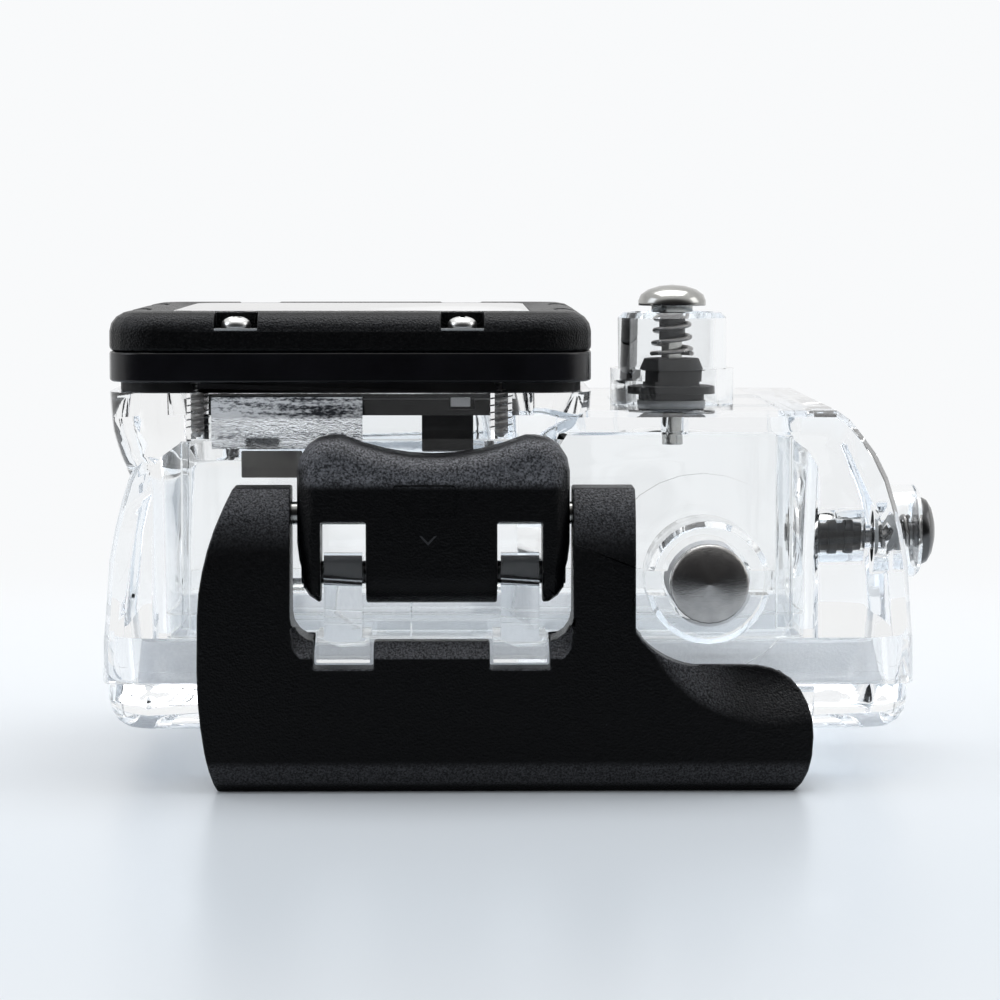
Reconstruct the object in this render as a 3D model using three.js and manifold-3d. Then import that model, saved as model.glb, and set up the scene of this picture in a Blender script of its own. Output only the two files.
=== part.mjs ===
// Underwater camera housing: a clear dive case with a square lens port, three sealed push
// buttons, a sealed rear door on a pinned hinge, and an over-centre latch with a pull lever.
// Millimetres. The case lies on its back: +Z is the way the lens looks, -Y is the top of the
// camera, X runs along its width. The origin is the centre of the bounding box's base.
import * as THREE from 'three';
import { mergeVertices } from 'three/addons/utils/BufferGeometryUtils.js';
import Module from 'manifold-3d';

const wasm = await Module();
wasm.setup();

// Gaps that pieces share, and the overrun of every cut
const runningGap = 0.3;
const pinGap = 0.22;
const seatGap = 0.2;
const overrun = 1;

// Facet counts
const fineSteps = 28;
const smallSteps = 20;
const cornerSteps = 4;

// Heights, stacked up from the surface that the case lies on
const lipDrop = 4.2;
const doorThickness = 4.3;
const bodyHeight = 24.1;
const portRise = 1.7;
const gasketThickness = 0.9;
const frameThickness = 2.67;
const bezelThickness = 3.53;
const doorBackZ = lipDrop;
const seamZ = doorBackZ + doorThickness;
const frontZ = seamZ + bodyHeight;
const portTopZ = frontZ + portRise;
const gasketTopZ = portTopZ + gasketThickness;
const frameTopZ = gasketTopZ + frameThickness;
const bezelTopZ = frameTopZ + bezelThickness;

// Body shell
const bodyHalfWidth = 35.9;
const bodyLength = 47;
const bodyEdgeRadius = 1.8;
const bodyCornerRadius = 3.5;
const flangeProud = 0.2;
const flangeHeight = 1.1;
const sideDraw = 6.9;
const sideDrawShares = [
  [0, 0], [0, 0.145], [0.044, 0.3], [0.08, 0.45], [0.16, 0.57], [0.24, 0.66],
  [0.335, 0.75], [0.49, 0.84], [0.7, 0.92], [0.83, 0.965], [1, 1],
];
const leftWall = 4.1;
const rightWall = 8.1;
const topWall = 2.75;
const bottomWall = 2.5;
const frontWall = 2.2;
const cavityCornerRadius = 4.5;
const cavityPlanRadius = 3.6;
const mouthWall = 1.3;
const mouthDepth = 4;
const cavityLeft = -bodyHalfWidth + leftWall;
const cavityRight = bodyHalfWidth - rightWall;
const cavityTopZ = frontZ - frontWall;

// Lens port, square in plan, flaring out of the body
const portHalf = 21.3;
const portInset = 0.6;
const portOverhang = 1.2;
const portX = -bodyHalfWidth + portInset + portHalf;
const portY = portHalf - portOverhang;
const portCornerRadius = 4.4;
const portBlockHeight = 8.4;
const portFlareShares = [
  [0, 0.922], [0.08, 0.925], [0.2, 0.943], [0.33, 0.961], [0.46, 0.975], [0.58, 0.987], [0.72, 0.993],
  [1, 1],
];
const portWall = 5;
const portHoleHalf = portHalf - portWall;
const portHoleRadius = 4;
const portLedge = 1.4;
const portLedgeHeight = 1.9;

// Lens stack: gasket, lower frame, bezel and stepped glass
const gasketInset = 0.9;
const gasketHalf = portHalf - gasketInset;
const gasketWidth = 4.4;
const frameWidth = 6;
const frameOpeningHalf = portHalf - frameWidth;
const bezelEdgeRadius = 2.1;
const bezelEdgeDrop = 1.8;
const bezelParting = 0.25;
const bezelCrestInset = 2.7;
const bezelCrestHalf = portHalf - bezelCrestInset;
const bezelWidth = 5.3;
const glassHalf = portHalf - bezelWidth;
const glassFlange = 1.4;
const glassFlangeThickness = 1.7;
const glassSeat = 0.6;
const glassSink = 0.35;
const baffleThickness = 1.4;
const baffleWidth = 3;
const baffleHoleHalf = portHoleHalf - baffleWidth;
const baffleHoleRadius = 3;
const baffleNotchWidth = 2.2;
const baffleNotchDepth = 0.9;

// Screws of the bezel and of the lower frame
const bezelScrewFromEdge = 11.4;
const bezelScrewOffset = portHalf - bezelScrewFromEdge;
const bezelScrewInset = 1.35;
const screwNotchWidth = 3.8;
const screwNotchFloor = 1.55;
const screwNotchReach = 3;
const screwHeadRadius = 1.25;
const screwHeadHeight = 1.15;
const screwShankRadius = 0.7;
const screwShankLength = 3.6;
const screwRecessWidth = 0.42;
const screwRecessDepth = 0.5;
const screwRecessReach = 0.85;
const frameScrewFromEdge = 8;
const frameScrewOffset = portHalf - frameScrewFromEdge;
const frameScrewInset = 1.9;
const frameScrewRadius = 0.8;
const frameScrewHeadRadius = 1.3;
const frameScrewHeadHeight = 1;
const frameScrewDepth = 3.8;

// What the three push buttons share
const clipThickness = 0.5;
const clipRadius = 1.7;
const clipGrooveDepth = 0.35;
const clipSeat = 0.1;
const shaftTail = 0.6;
const pressTravel = 1.5;
const springWire = 0.42;
const springStepsPerTurn = 8;
const springSides = 5;

// Power button, on the front face beside the port
const powerFromPort = 7.85;
const powerButton = {
  name: 'power', x: portX + portHalf + powerFromPort, y: 14,
  headRadius: 3.1, headHeight: 1.9, rimHeight: 0.45, collarRadius: 1.9, collarHeight: 0.6,
  standOff: 8.4, shaftRadius: 0.95, sink: 0.2,
  guardRadius: 4.98, guardHeight: 8.4, guardBore: 3.9, guardRounding: 0.5,
  baseRadius: 5.65, baseHeight: 3.3, pocketRadius: 4.2, pocketHeight: 2.2,
  washerRadius: 3.15, washerHeight: 0.6, footRadius: 3, footHeight: 0.6,
  flangeRadius: 4, flangeHeight: 0.7, neckRadius: 2.6, neckHeight: 1.4,
  lipRadius: 2.95, lipTopRadius: 2.5, lipHeight: 1.1,
  springBottomRadius: 1.75, springTopRadius: 1.3, springTurns: 3.25,
};

// Shutter button, on the top face
const shutterButton = {
  name: 'shutter', x: 17, z: 18.3,
  headRadius: 3.4, headHeight: 1.6, rimHeight: 1.3, collarRadius: 2.2, collarHeight: 0.3,
  standOff: 7.5, shaftRadius: 1, sink: 0.2,
  guardRadius: 5.32, guardHeight: 8.2, guardBore: 3.75, guardRounding: 0.5,
  baseRadius: 8.9, baseHeight: 0.7, pocketRadius: 3.75, pocketHeight: 0.7,
  washerRadius: 3.15, washerHeight: 0.4, footRadius: 3, footHeight: 0.4,
  flangeRadius: 3.45, flangeHeight: 0.6, neckRadius: 2.5, neckHeight: 1.2,
  lipRadius: 2.8, lipTopRadius: 2.4, lipHeight: 1,
  springBottomRadius: 1.75, springTopRadius: 1.4, springTurns: 3.25,
};
const guardNotchWidth = 2.1;
const guardNotchDepth = 2.6;

// Side button, on the right-hand end
const sideButton = {
  name: 'side', y: 18, z: 20.5,
  headRadius: 3.15, headHeight: 1.75, rimHeight: 0.5, collarRadius: 1.5, collarHeight: 0.3,
  standOff: 2.5, shaftRadius: 0.85, sink: 2.2,
  guardRadius: 4.3, guardHeight: 3, guardBore: 3.5, guardRounding: 0.4,
  baseRadius: 4.3, baseHeight: 0.4, pocketRadius: 3.5, pocketHeight: 1.7,
  washerRadius: 2.4, washerHeight: 0.4,
  springBottomRadius: 1.45, springTopRadius: 1.3, springTurns: 3.25,
};
const sideFaceInset = 0.5;
const sideFaceX = bodyHalfWidth - sideFaceInset;
const innerSealRadius = 2.35;
const innerSealLength = 4.5;
const innerSealGroove = 0.45;
const innerSealRibs = 3;

// Rear door, its seal and its hinge
const doorEdgeRadius = 2.7;
const doorCornerRadius = 3.8;
const doorLandReach = 3.3;
const doorLandRise = 4.1;
const doorEdgeInset = 0.2;
const sealHeight = 3.5;
const sealTaper = 0.8;
const sealWidth = 2.3;
const plugHeight = 1.8;
const plugWidth = 1.2;
const hingeOffset = 2.5;
const hingeZ = 2.9;
const knuckleRadius = 2.9;
const hingePinRadius = 1;
const hingePinSink = 0.6;
const outerArmCentre = 22;
const outerArmWidth = 4;
const middleArmWidth = 6;
const doorKnuckleCentre = 15.7;
const doorKnuckleWidth = 8;
const hingeRelief = 0.8;
const hingePinHalf = outerArmCentre + outerArmWidth / 2 - hingePinSink;

// Two-prong mount under the case
const prongThickness = 3;
const prongGap = 3.2;
const prongRadius = 7.5;
const prongReach = 15;
const prongHoleRadius = 2.5;
const prongZ = 20.5;

// Latch: clear hooks, lever, plate and their pins
const latchPinY = -4.7;
const latchPinZ = 18.95;
const latchPinRadius = 1;
const platePinY = -3.6;
const platePinZ = 24;
const platePinRadius = 1;
const latchFaceY = -7.6;
const hookCentres = [-14.4, 0.82];
const hookWidth = 3.3;
const hookBackZ = 13.6;
const hookThickness = 1.85;
const hookBlockWidth = 4.6;
const hookBlockBottomZ = 11.4;
const latchSwingGap = 0.55;

const leverLeft = -18.4;
const leverRight = 5.15;
const leverFrontZ = 30.8;
const leverValley = 1.7;
const leverHumpShare = 0.34;
const leverCornerRadius = 3;
const leverTailInset = 0.35;
const leverTailRadius = 2.4;
const leverBarrelRadius = 2.65;
const leverNotchZ = 23.5;
const leverNotchWidth = 3.9;
const leverInnerY = -1.6;
const leverNoseRadius = 1.3;
const leverEdge = 2;
const leverEdgeSteps = 3;

const tongueReach = 10;
const plateReach = shutterButton.x + tongueReach;
const plateTopZ = 26.3;
const plateLeftShares = [
  [0.887, 1], [0.938, 0.885], [0.974, 0.768], [0.996, 0.64], [1, 0.5],
  [1, 0.33], [0.985, 0.175], [0.962, 0.06], [0.94, 0],
];
const plateRightShares = [
  [0.915, 0], [0.948, 0.05], [0.966, 0.13], [0.968, 0.225], [0.95, 0.3],
  [0.915, 0.355], [0.865, 0.392], [0.8, 0.411], [0.7, 0.414], [0.574, 0.414],
];
const legFromShutter = 6.2;
const plateLegRight = shutterButton.x - legFromShutter;
const slotLeft = -18.97;
const slotRight = 5.4;
const slotBottomZ = 13.1;
const slotCornerRadius = 2.2;
const slotBevel = 1.3;
const guardClearGap = 2.18;
const guardClearRadius = shutterButton.guardRadius + guardClearGap;
const plateWeb = 3.2;
const plateInnerY = -1.2;
const plateNoseShares = [[0, 0.72], [0.06, 0.82], [0.2, 0.91], [0.42, 0.965], [0.72, 1]];
const plateNoseDepth = 3.4;
const plateToeZ = 2.85;
const plateToeBandZ = 0.9;
const plateToeBandDepth = 0.7;
const plateToeFlat = 1.4;
const lipGap = 0.3;
const lipTipCut = 0.45;
const lipTopZ = 10;
const lipShoulderReach = 0.75;
const scoopFromShutter = 5.9;
const scoopRadius = 12.8;
const scoopDepthShares = [
  [1, 0], [0.96, 0.03], [0.92, 0.11], [0.87, 0.26], [0.82, 0.46], [0.77, 0.68], [0.71, 0.88], [0.64, 1],
];
const scoopDepth = 2.2;
const legPocketWall = 1.6;
const legPocketTopZ = 20.4;

// Outline helpers, in a plane of (u, v)
const point = (u, v) => new THREE.Vector2(u, v);

function arc(u, v, radius, from, to, steps = cornerSteps) {
  return Array.from({ length: steps + 1 }, (_, i) => {
    const angle = from + ((to - from) * i) / steps;
    return point(u + radius * Math.cos(angle), v + radius * Math.sin(angle));
  });
}

function roundedRect(u0, v0, u1, v1, radius, steps = cornerSteps) {
  const quarter = Math.PI / 2;
  return [
    ...arc(u1 - radius, v0 + radius, radius, -quarter, 0, steps),
    ...arc(u1 - radius, v1 - radius, radius, 0, quarter, steps),
    ...arc(u0 + radius, v1 - radius, radius, quarter, 2 * quarter, steps),
    ...arc(u0 + radius, v0 + radius, radius, 2 * quarter, 3 * quarter, steps),
  ];
}

const square = (half, radius, steps) =>
  roundedRect(portX - half, portY - half, portX + half, portY + half, radius, steps);

const smooth = (points, steps) => new THREE.SplineCurve(points).getPoints(steps);

const fromShares = (shares, width, height) => shares.map(([u, v]) => point(u * width, v * height));

// Solid helpers
function signedVolume(positions, index) {
  const corner = [new THREE.Vector3(), new THREE.Vector3(), new THREE.Vector3()];
  let volume = 0;
  for (let i = 0; i < index.length; i += 3) {
    corner.forEach((vector, k) => vector.fromArray(positions, 3 * index[i + k]));
    volume += corner[0].dot(corner[1].cross(corner[2])) / 6;
  }
  return volume;
}

function solidFrom(geometry) {
  const bare = new THREE.BufferGeometry();
  bare.setAttribute('position', geometry.getAttribute('position'));
  if (geometry.index) bare.setIndex(geometry.index);
  const merged = mergeVertices(bare);
  const positions = merged.getAttribute('position').array;
  const all = Array.from(merged.index.array);
  const index = [];
  for (let i = 0; i < all.length; i += 3) {
    const [a, b, c] = all.slice(i, i + 3);
    if (a !== b && b !== c && c !== a) index.push(a, b, c);
  }
  if (signedVolume(positions, index) < 0) index.reverse();
  return new wasm.Manifold(new wasm.Mesh({
    numProp: 3, vertProperties: new Float32Array(positions), triVerts: new Uint32Array(index),
  }));
}

// The plane of an outline and the way it is extruded, for each axis
const planes = {
  x: [new THREE.Vector3(0, 1, 0), new THREE.Vector3(0, 0, 1), new THREE.Vector3(1, 0, 0)],
  y: [new THREE.Vector3(1, 0, 0), new THREE.Vector3(0, 0, 1), new THREE.Vector3(0, -1, 0)],
  z: [new THREE.Vector3(1, 0, 0), new THREE.Vector3(0, 1, 0), new THREE.Vector3(0, 0, 1)],
};

function prism(axis, outline, low, high, edge = 0, edgeSteps = 2) {
  const geometry = new THREE.ExtrudeGeometry(new THREE.Shape(outline), {
    depth: high - low - 2 * edge,
    bevelEnabled: edge > 0,
    bevelThickness: edge,
    bevelSize: edge,
    bevelOffset: -edge,
    bevelSegments: edgeSteps,
  });
  geometry.translate(0, 0, edge + (axis === 'y' ? -high : low));
  geometry.applyMatrix4(new THREE.Matrix4().makeBasis(...planes[axis]));
  return solidFrom(geometry);
}

const box = (x0, y0, z0, x1, y1, z1) =>
  prism('z', [point(x0, y0), point(x1, y0), point(x1, y1), point(x0, y1)], z0, z1);

// A solid through level outlines that all have the same number of points
function loft(layers) {
  const count = layers[0].outline.length;
  const positions = layers.flatMap(({ outline, z }) => outline.flatMap(({ x, y }) => [x, y, z]));
  const index = [];
  for (let level = 0; level < layers.length - 1; level += 1) {
    for (let i = 0; i < count; i += 1) {
      const a = level * count + i;
      const b = level * count + ((i + 1) % count);
      index.push(a, b, b + count, a, b + count, a + count);
    }
  }
  const top = (layers.length - 1) * count;
  for (let i = 1; i < count - 1; i += 1) {
    index.push(0, i + 1, i);
    index.push(top, top + i, top + i + 1);
  }
  const geometry = new THREE.BufferGeometry();
  geometry.setAttribute('position', new THREE.Float32BufferAttribute(positions, 3));
  geometry.setIndex(index);
  return solidFrom(geometry);
}

// A turned solid: pairs of radius and height, placed on a frame whose Y axis it turns about
function turned(profile, frame, steps = fineSteps) {
  const points = profile.map(([radius, height]) => point(radius, height));
  const geometry = new THREE.LatheGeometry(points, steps);
  geometry.applyMatrix4(frame);
  return solidFrom(geometry);
}

// Frames of the turned pieces: their Y axis points out of the face that carries them
function outwardFrame(axis, sign, x, y, z) {
  const out = new THREE.Vector3(axis === 'x' ? sign : 0, axis === 'y' ? sign : 0, axis === 'z' ? sign : 0);
  const turn = new THREE.Quaternion().setFromUnitVectors(new THREE.Vector3(0, 1, 0), out);
  return new THREE.Matrix4().compose(new THREE.Vector3(x, y, z), turn, new THREE.Vector3(1, 1, 1));
}

const cylinder = (radius, low, high, frame, steps = smallSteps) =>
  turned([[0, low], [radius, low], [radius, high], [0, high]], frame, steps);

const ring = (inner, outer, low, high, frame, steps = smallSteps) =>
  turned([[inner, low], [outer, low], [outer, high], [inner, high], [inner, low]], frame, steps);

const rod = (y, z, radius, x0, x1, steps = smallSteps) =>
  cylinder(radius, x0, x1, outwardFrame('x', 1, 0, y, z), steps);

const joined = (first, ...rest) => rest.reduce((sum, solid) => sum.add(solid), first);
const cut = (first, ...rest) => rest.reduce((sum, solid) => sum.subtract(solid), first);

// Materials
const material = (color, roughness, metalness = 0, extra = {}) =>
  new THREE.MeshStandardMaterial({ color, roughness, metalness, ...extra });
const clearPlastic = material(0xf3f6f8, 0.05, 0, { transparent: true, opacity: 0.3 });
const grainedBlack = material(0x16171a, 0.55);
const glossBlack = material(0x0e0f11, 0.25);
const blackRubber = material(0x121214, 0.75);
const greyRubber = material(0xc9cbce, 0.6);
const greyPlastic = material(0x8d9094, 0.5);
const steel = material(0xb9bbbd, 0.22, 1);
const satinSteel = material(0x9b9b9a, 0.42, 1);
const lensGlass = material(0xe9f3f6, 0.03, 0, { transparent: true, opacity: 0.35 });

const housing = new THREE.Group();

function addPiece(name, solid, finish) {
  const { vertProperties, numProp, triVerts } = solid.getMesh();
  const positions = [];
  for (const vertex of triVerts) {
    positions.push(...vertProperties.slice(vertex * numProp, vertex * numProp + 3));
  }
  const geometry = new THREE.BufferGeometry();
  geometry.setAttribute('position', new THREE.Float32BufferAttribute(positions, 3));
  geometry.computeVertexNormals();
  const mesh = new THREE.Mesh(geometry, finish);
  mesh.name = name;
  housing.add(mesh);
  return mesh;
}

// Frames of the three buttons, at the outer face that carries each
powerButton.frame = outwardFrame('z', 1, powerButton.x, powerButton.y, frontZ);
powerButton.wall = frontWall;
shutterButton.frame = outwardFrame('y', -1, shutterButton.x, 0, shutterButton.z);
shutterButton.wall = topWall;
sideButton.frame = outwardFrame('x', 1, sideFaceX, sideButton.y, sideButton.z);
sideButton.wall = sideFaceX - cavityRight;
const buttons = [powerButton, shutterButton, sideButton];

// Clear guard and base that stand round a button
function buttonGuard(button) {
  const { guardRadius, guardHeight, guardRounding, baseRadius, baseHeight, wall, frame } = button;
  const root = -Math.min(wall, topWall) / 2;
  return turned([
    [0, root], [baseRadius, root], [baseRadius, baseHeight], [guardRadius, baseHeight],
    [guardRadius, guardHeight - guardRounding], [guardRadius - guardRounding, guardHeight],
    [0, guardHeight],
  ], frame);
}

// Bore of the guard, the seal pocket, the shaft hole and the room that the clip moves in
function buttonBore(button) {
  const { guardBore, guardHeight, pocketRadius, pocketHeight, sink, wall, shaftRadius, frame } = button;
  const hole = shaftRadius + runningGap;
  const clipHole = clipRadius + runningGap;
  const floor = -wall - pressTravel - clipThickness - shaftTail - overrun;
  return turned([
    [0, floor], [clipHole, floor], [clipHole, -wall], [hole, -wall],
    [hole, -sink], [pocketRadius, -sink],
    [pocketRadius, pocketHeight], [guardBore, pocketHeight], [guardBore, guardHeight + overrun],
    [0, guardHeight + overrun],
  ], frame);
}

// Body outline seen from the top, run down past the seam so that the seam can be cut level
function bodyOutline() {
  const right = sideDrawShares.map(([u, v]) => point(bodyHalfWidth - u * sideDraw, seamZ + v * bodyHeight));
  const left = right.map(({ x, y }) => point(-x, y)).reverse();
  const foot = seamZ - bodyEdgeRadius - overrun;
  return [point(bodyHalfWidth, foot), ...right, ...left, point(-bodyHalfWidth, foot)];
}

function cavityOutline() {
  const floor = seamZ - overrun;
  const radius = cavityCornerRadius;
  return [
    point(cavityLeft, floor), point(cavityRight, floor),
    ...arc(cavityRight - radius, cavityTopZ - radius, radius, 0, Math.PI / 2),
    ...arc(cavityLeft + radius, cavityTopZ - radius, radius, Math.PI / 2, Math.PI),
  ];
}

const cavityPlan = () => roundedRect(cavityLeft, topWall, cavityRight, bodyLength - bottomWall,
  cavityPlanRadius);

function hook(centre) {
  const mouth = latchPinRadius + pinGap;
  const outer = latchPinY - mouth - hookThickness;
  const top = latchPinZ + hookThickness;
  const side = [
    point(overrun, hookBlockBottomZ), point(latchFaceY, hookBlockBottomZ),
    point(latchFaceY, hookBackZ), point(outer, hookBackZ + hookThickness / 2),
    point(outer, latchPinZ), point(outer + hookThickness / 2, top),
    point(latchPinY - mouth, top),
    ...arc(latchPinY, latchPinZ, mouth, Math.PI, 2 * Math.PI, 2 * cornerSteps),
    point(latchPinY + mouth, top - hookThickness / 2), point(overrun, top - hookThickness / 2),
  ];
  const block = box(
    centre - hookBlockWidth / 2, latchFaceY, hookBlockBottomZ,
    centre + hookBlockWidth / 2, overrun, hookBackZ,
  );
  return joined(prism('x', side, centre - hookWidth / 2, centre + hookWidth / 2), block);
}

// An arm of the shell that carries the hinge pin
function hingeArm(centre, width) {
  const y = bodyLength + hingeOffset;
  const side = [
    point(y - knuckleRadius, seamZ + mouthDepth), point(y - knuckleRadius, hingeZ),
    ...arc(y, hingeZ, knuckleRadius, Math.PI, 2 * Math.PI, 2 * cornerSteps),
    point(y + knuckleRadius, seamZ), point(bodyLength - bodyEdgeRadius, seamZ + mouthDepth + hingeOffset),
  ];
  return prism('x', side, centre - width / 2, centre + width / 2);
}

function prong(inner, outer) {
  const y = bodyLength + prongReach - prongRadius;
  const side = [
    ...arc(y, prongZ, prongRadius, -Math.PI / 2, Math.PI / 2, 2 * cornerSteps),
    point(bodyLength - bodyEdgeRadius, prongZ + prongRadius),
    point(bodyLength - bodyEdgeRadius, prongZ - prongRadius),
  ];
  return prism('x', side, inner, outer);
}

function frontShell() {
  const mouth = bodyHalfWidth - mouthWall;
  const flange = bodyHalfWidth + flangeProud;
  const prongInner = prongGap / 2;
  const prongOuter = prongInner + prongThickness;
  let shell = prism('y', bodyOutline(), 0, bodyLength, bodyEdgeRadius);
  shell = joined(
    shell,
    prism('z', roundedRect(-flange, -flangeProud, flange, bodyLength + flangeProud, bodyCornerRadius, 2),
      seamZ, seamZ + flangeHeight),
    loft(portFlareShares.map(([v, u]) => ({
      outline: square(u * portHalf, portCornerRadius), z: portTopZ - (1 - v) * portBlockHeight,
    }))),
  );
  shell = cut(
    shell,
    box(-2 * flange, -bodyLength, 0, 2 * flange, 2 * bodyLength, seamZ),
    prism('y', cavityOutline(), topWall, bodyLength - bottomWall).intersect(
      prism('z', cavityPlan(), seamZ - overrun, cavityTopZ + overrun)),
    prism('z', roundedRect(-mouth, mouthWall, mouth, bodyLength - mouthWall, bodyCornerRadius),
      seamZ - overrun, seamZ + mouthDepth),
    prism('z', square(portHoleHalf, portHoleRadius), cavityTopZ + portLedgeHeight, portTopZ + overrun),
    prism('z', square(portHoleHalf - portLedge, portHoleRadius), cavityTopZ - overrun, portTopZ),
  );
  shell = joined(
    shell,
    ...buttons.map(buttonGuard),
    ...hookCentres.map(hook),
    hingeArm(-outerArmCentre, outerArmWidth),
    hingeArm(0, middleArmWidth),
    hingeArm(outerArmCentre, outerArmWidth),
    prong(prongInner, prongOuter),
    prong(-prongOuter, -prongInner),
  );
  const pocketEnd = -sideButton.wall + innerSealLength + seatGap;
  shell = cut(
    shell,
    ...buttons.map(buttonBore),
    cylinder(innerSealRadius + seatGap, -sideButton.wall - overrun, pocketEnd, sideButton.frame),
    rod(bodyLength + hingeOffset, hingeZ, hingePinRadius + pinGap, -bodyHalfWidth, bodyHalfWidth),
    rod(bodyLength + prongReach - prongRadius, prongZ, prongHoleRadius, -portHalf, portHalf, fineSteps),
    box(
      shutterButton.x - shutterButton.baseRadius + overrun, -shutterButton.guardHeight - overrun,
      shutterButton.z - guardNotchWidth / 2,
      shutterButton.x + shutterButton.baseRadius - overrun, -shutterButton.guardHeight + guardNotchDepth,
      shutterButton.z + guardNotchWidth / 2,
    ),
    ...frameScrewPlaces().map(([x, y]) => cylinder(
      frameScrewRadius + seatGap, -frameScrewDepth - seatGap, overrun,
      outwardFrame('z', 1, x, y, portTopZ), smallSteps / 2,
    )),
  );
  return shell;
}

// Places of the screws round the square lens stack
function frameScrewPlaces() {
  const reach = portHalf - frameScrewInset;
  return [-1, 1].flatMap((side) => [-1, 1].map((end) =>
    [portX + side * frameScrewOffset, portY + end * reach]));
}

function bezelScrewPlaces() {
  const reach = portHalf - bezelScrewInset;
  const places = [];
  for (const side of [-1, 1]) {
    for (const end of [-1, 1]) {
      places.push([portX + side * bezelScrewOffset, portY + end * reach, 'y', end]);
      places.push([portX + end * reach, portY + side * bezelScrewOffset, 'x', end]);
    }
  }
  return places;
}

function squareRing(outer, outerRadius, inner, innerRadius, low, high) {
  return cut(
    prism('z', square(outer, outerRadius), low, high),
    prism('z', square(inner, innerRadius), low - overrun, high + overrun),
  );
}

function lensGasket() {
  const gasket = squareRing(gasketHalf, portCornerRadius, gasketHalf - gasketWidth, portHoleRadius,
    portTopZ, gasketTopZ);
  return cut(gasket, ...frameScrewPlaces().map(([x, y]) => cylinder(
    frameScrewRadius + seatGap, -gasketThickness, 2 * gasketThickness,
    outwardFrame('z', 1, x, y, portTopZ), smallSteps / 2,
  )));
}

function lensFrame() {
  const frame = squareRing(portHalf, portCornerRadius, frameOpeningHalf, portHoleRadius,
    gasketTopZ, frameTopZ);
  const glassPocket = glassHalf + glassFlange + seatGap;
  const glassFloor = glassFlangeZ();
  return cut(
    frame,
    prism('z', square(glassPocket, portHoleRadius), glassFloor, frameTopZ + overrun),
    ...frameScrewPlaces().map(([x, y]) => cylinder(
      frameScrewRadius + seatGap, -overrun, frameThickness + overrun,
      outwardFrame('z', 1, x, y, gasketTopZ), smallSteps / 2,
    )),
    ...frameScrewPlaces().map(([x, y]) => cylinder(
      frameScrewHeadRadius + seatGap, -frameScrewHeadHeight - seatGap, overrun,
      outwardFrame('z', 1, x, y, frameTopZ), smallSteps / 2,
    )),
    ...bezelScrewPlaces().map(([x, y]) => cylinder(
      screwShankRadius + seatGap, -screwShankReach() - seatGap, overrun,
      outwardFrame('z', 1, x, y, frameTopZ), smallSteps / 2,
    )),
  );
}

// Underside of the glass, and how far the bezel screws reach into the lower frame
const glassTopZ = () => bezelTopZ - glassSink;
const glassFlangeZ = () => frameTopZ - glassSeat;
const notchFloorZ = () => bezelTopZ - screwNotchFloor;
const screwShankReach = () => screwShankLength - (notchFloorZ() - frameTopZ);

function glassPane() {
  const flange = glassHalf + glassFlange;
  const low = glassFlangeZ();
  return joined(
    prism('z', square(flange, portHoleRadius - seatGap), low, low + glassFlangeThickness),
    prism('z', square(glassHalf, portHoleRadius - glassFlange), low, glassTopZ()),
  );
}

function lensBezel() {
  const edge = bezelEdgeRadius;
  const layers = [
    { outline: square(portHalf - bezelParting, portCornerRadius - bezelParting), z: frameTopZ },
    { outline: square(portHalf, portCornerRadius), z: frameTopZ + bezelParting },
  ];
  for (let i = 0; i <= cornerSteps; i += 1) {
    const angle = (i / cornerSteps) * (Math.PI / 2);
    const inset = edge * (1 - Math.cos(angle));
    layers.push({
      outline: square(portHalf - inset, portCornerRadius - inset),
      z: bezelTopZ - bezelEdgeDrop * (1 - Math.sin(angle)),
    });
  }
  const hole = glassHalf + seatGap;
  const slope = bezelCrestHalf - hole;
  const opening = loft([
    { outline: square(hole, portHoleRadius - glassFlange), z: frameTopZ },
    { outline: square(hole, portHoleRadius - glassFlange), z: glassTopZ() },
    { outline: square(bezelCrestHalf, portHoleRadius), z: bezelTopZ },
    { outline: square(bezelCrestHalf + slope, portHoleRadius + slope), z: bezelTopZ + glassSink },
  ]);
  const pocketTop = glassFlangeZ() + glassFlangeThickness + seatGap;
  const flangePocket = prism('z', square(glassHalf + glassFlange + seatGap, portHoleRadius),
    frameTopZ - overrun, pocketTop);
  const floor = notchFloorZ();
  const half = screwNotchWidth / 2;
  const inner = portHalf - screwNotchReach;
  const notches = bezelScrewPlaces().map(([x, y, axis, end]) => {
    const near = axis === 'x' ? portX + end * inner : portY + end * inner;
    const far = axis === 'x' ? portX + end * (portHalf + overrun) : portY + end * (portHalf + overrun);
    const [low, high] = [Math.min(near, far), Math.max(near, far)];
    return axis === 'x'
      ? box(low, y - half, floor, high, y + half, bezelTopZ + overrun)
      : box(x - half, low, floor, x + half, high, bezelTopZ + overrun);
  });
  const holes = bezelScrewPlaces().map(([x, y]) => cylinder(
    screwShankRadius + seatGap, -overrun, floor - frameTopZ + overrun,
    outwardFrame('z', 1, x, y, frameTopZ), smallSteps / 2,
  ));
  return cut(loft(layers), cut(opening, box(-2 * portHalf - bodyLength, -bodyLength, 0,
    2 * portHalf, 2 * bodyLength, frameTopZ)), flangePocket, ...notches, ...holes);
}

function lightBaffle() {
  const low = cavityTopZ + portLedgeHeight;
  const half = portHoleHalf - seatGap;
  const notchX = portX + bezelScrewOffset;
  return cut(
    prism('z', square(half, portHoleRadius - seatGap), low, low + baffleThickness),
    prism('z', square(baffleHoleHalf, baffleHoleRadius), low - overrun, low + baffleThickness + overrun),
    box(notchX - baffleNotchWidth / 2, portY - half - overrun, low + baffleThickness - baffleNotchDepth,
      notchX + baffleNotchWidth / 2, portY - half + baffleNotchWidth, low + baffleThickness + overrun),
  );
}

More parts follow.
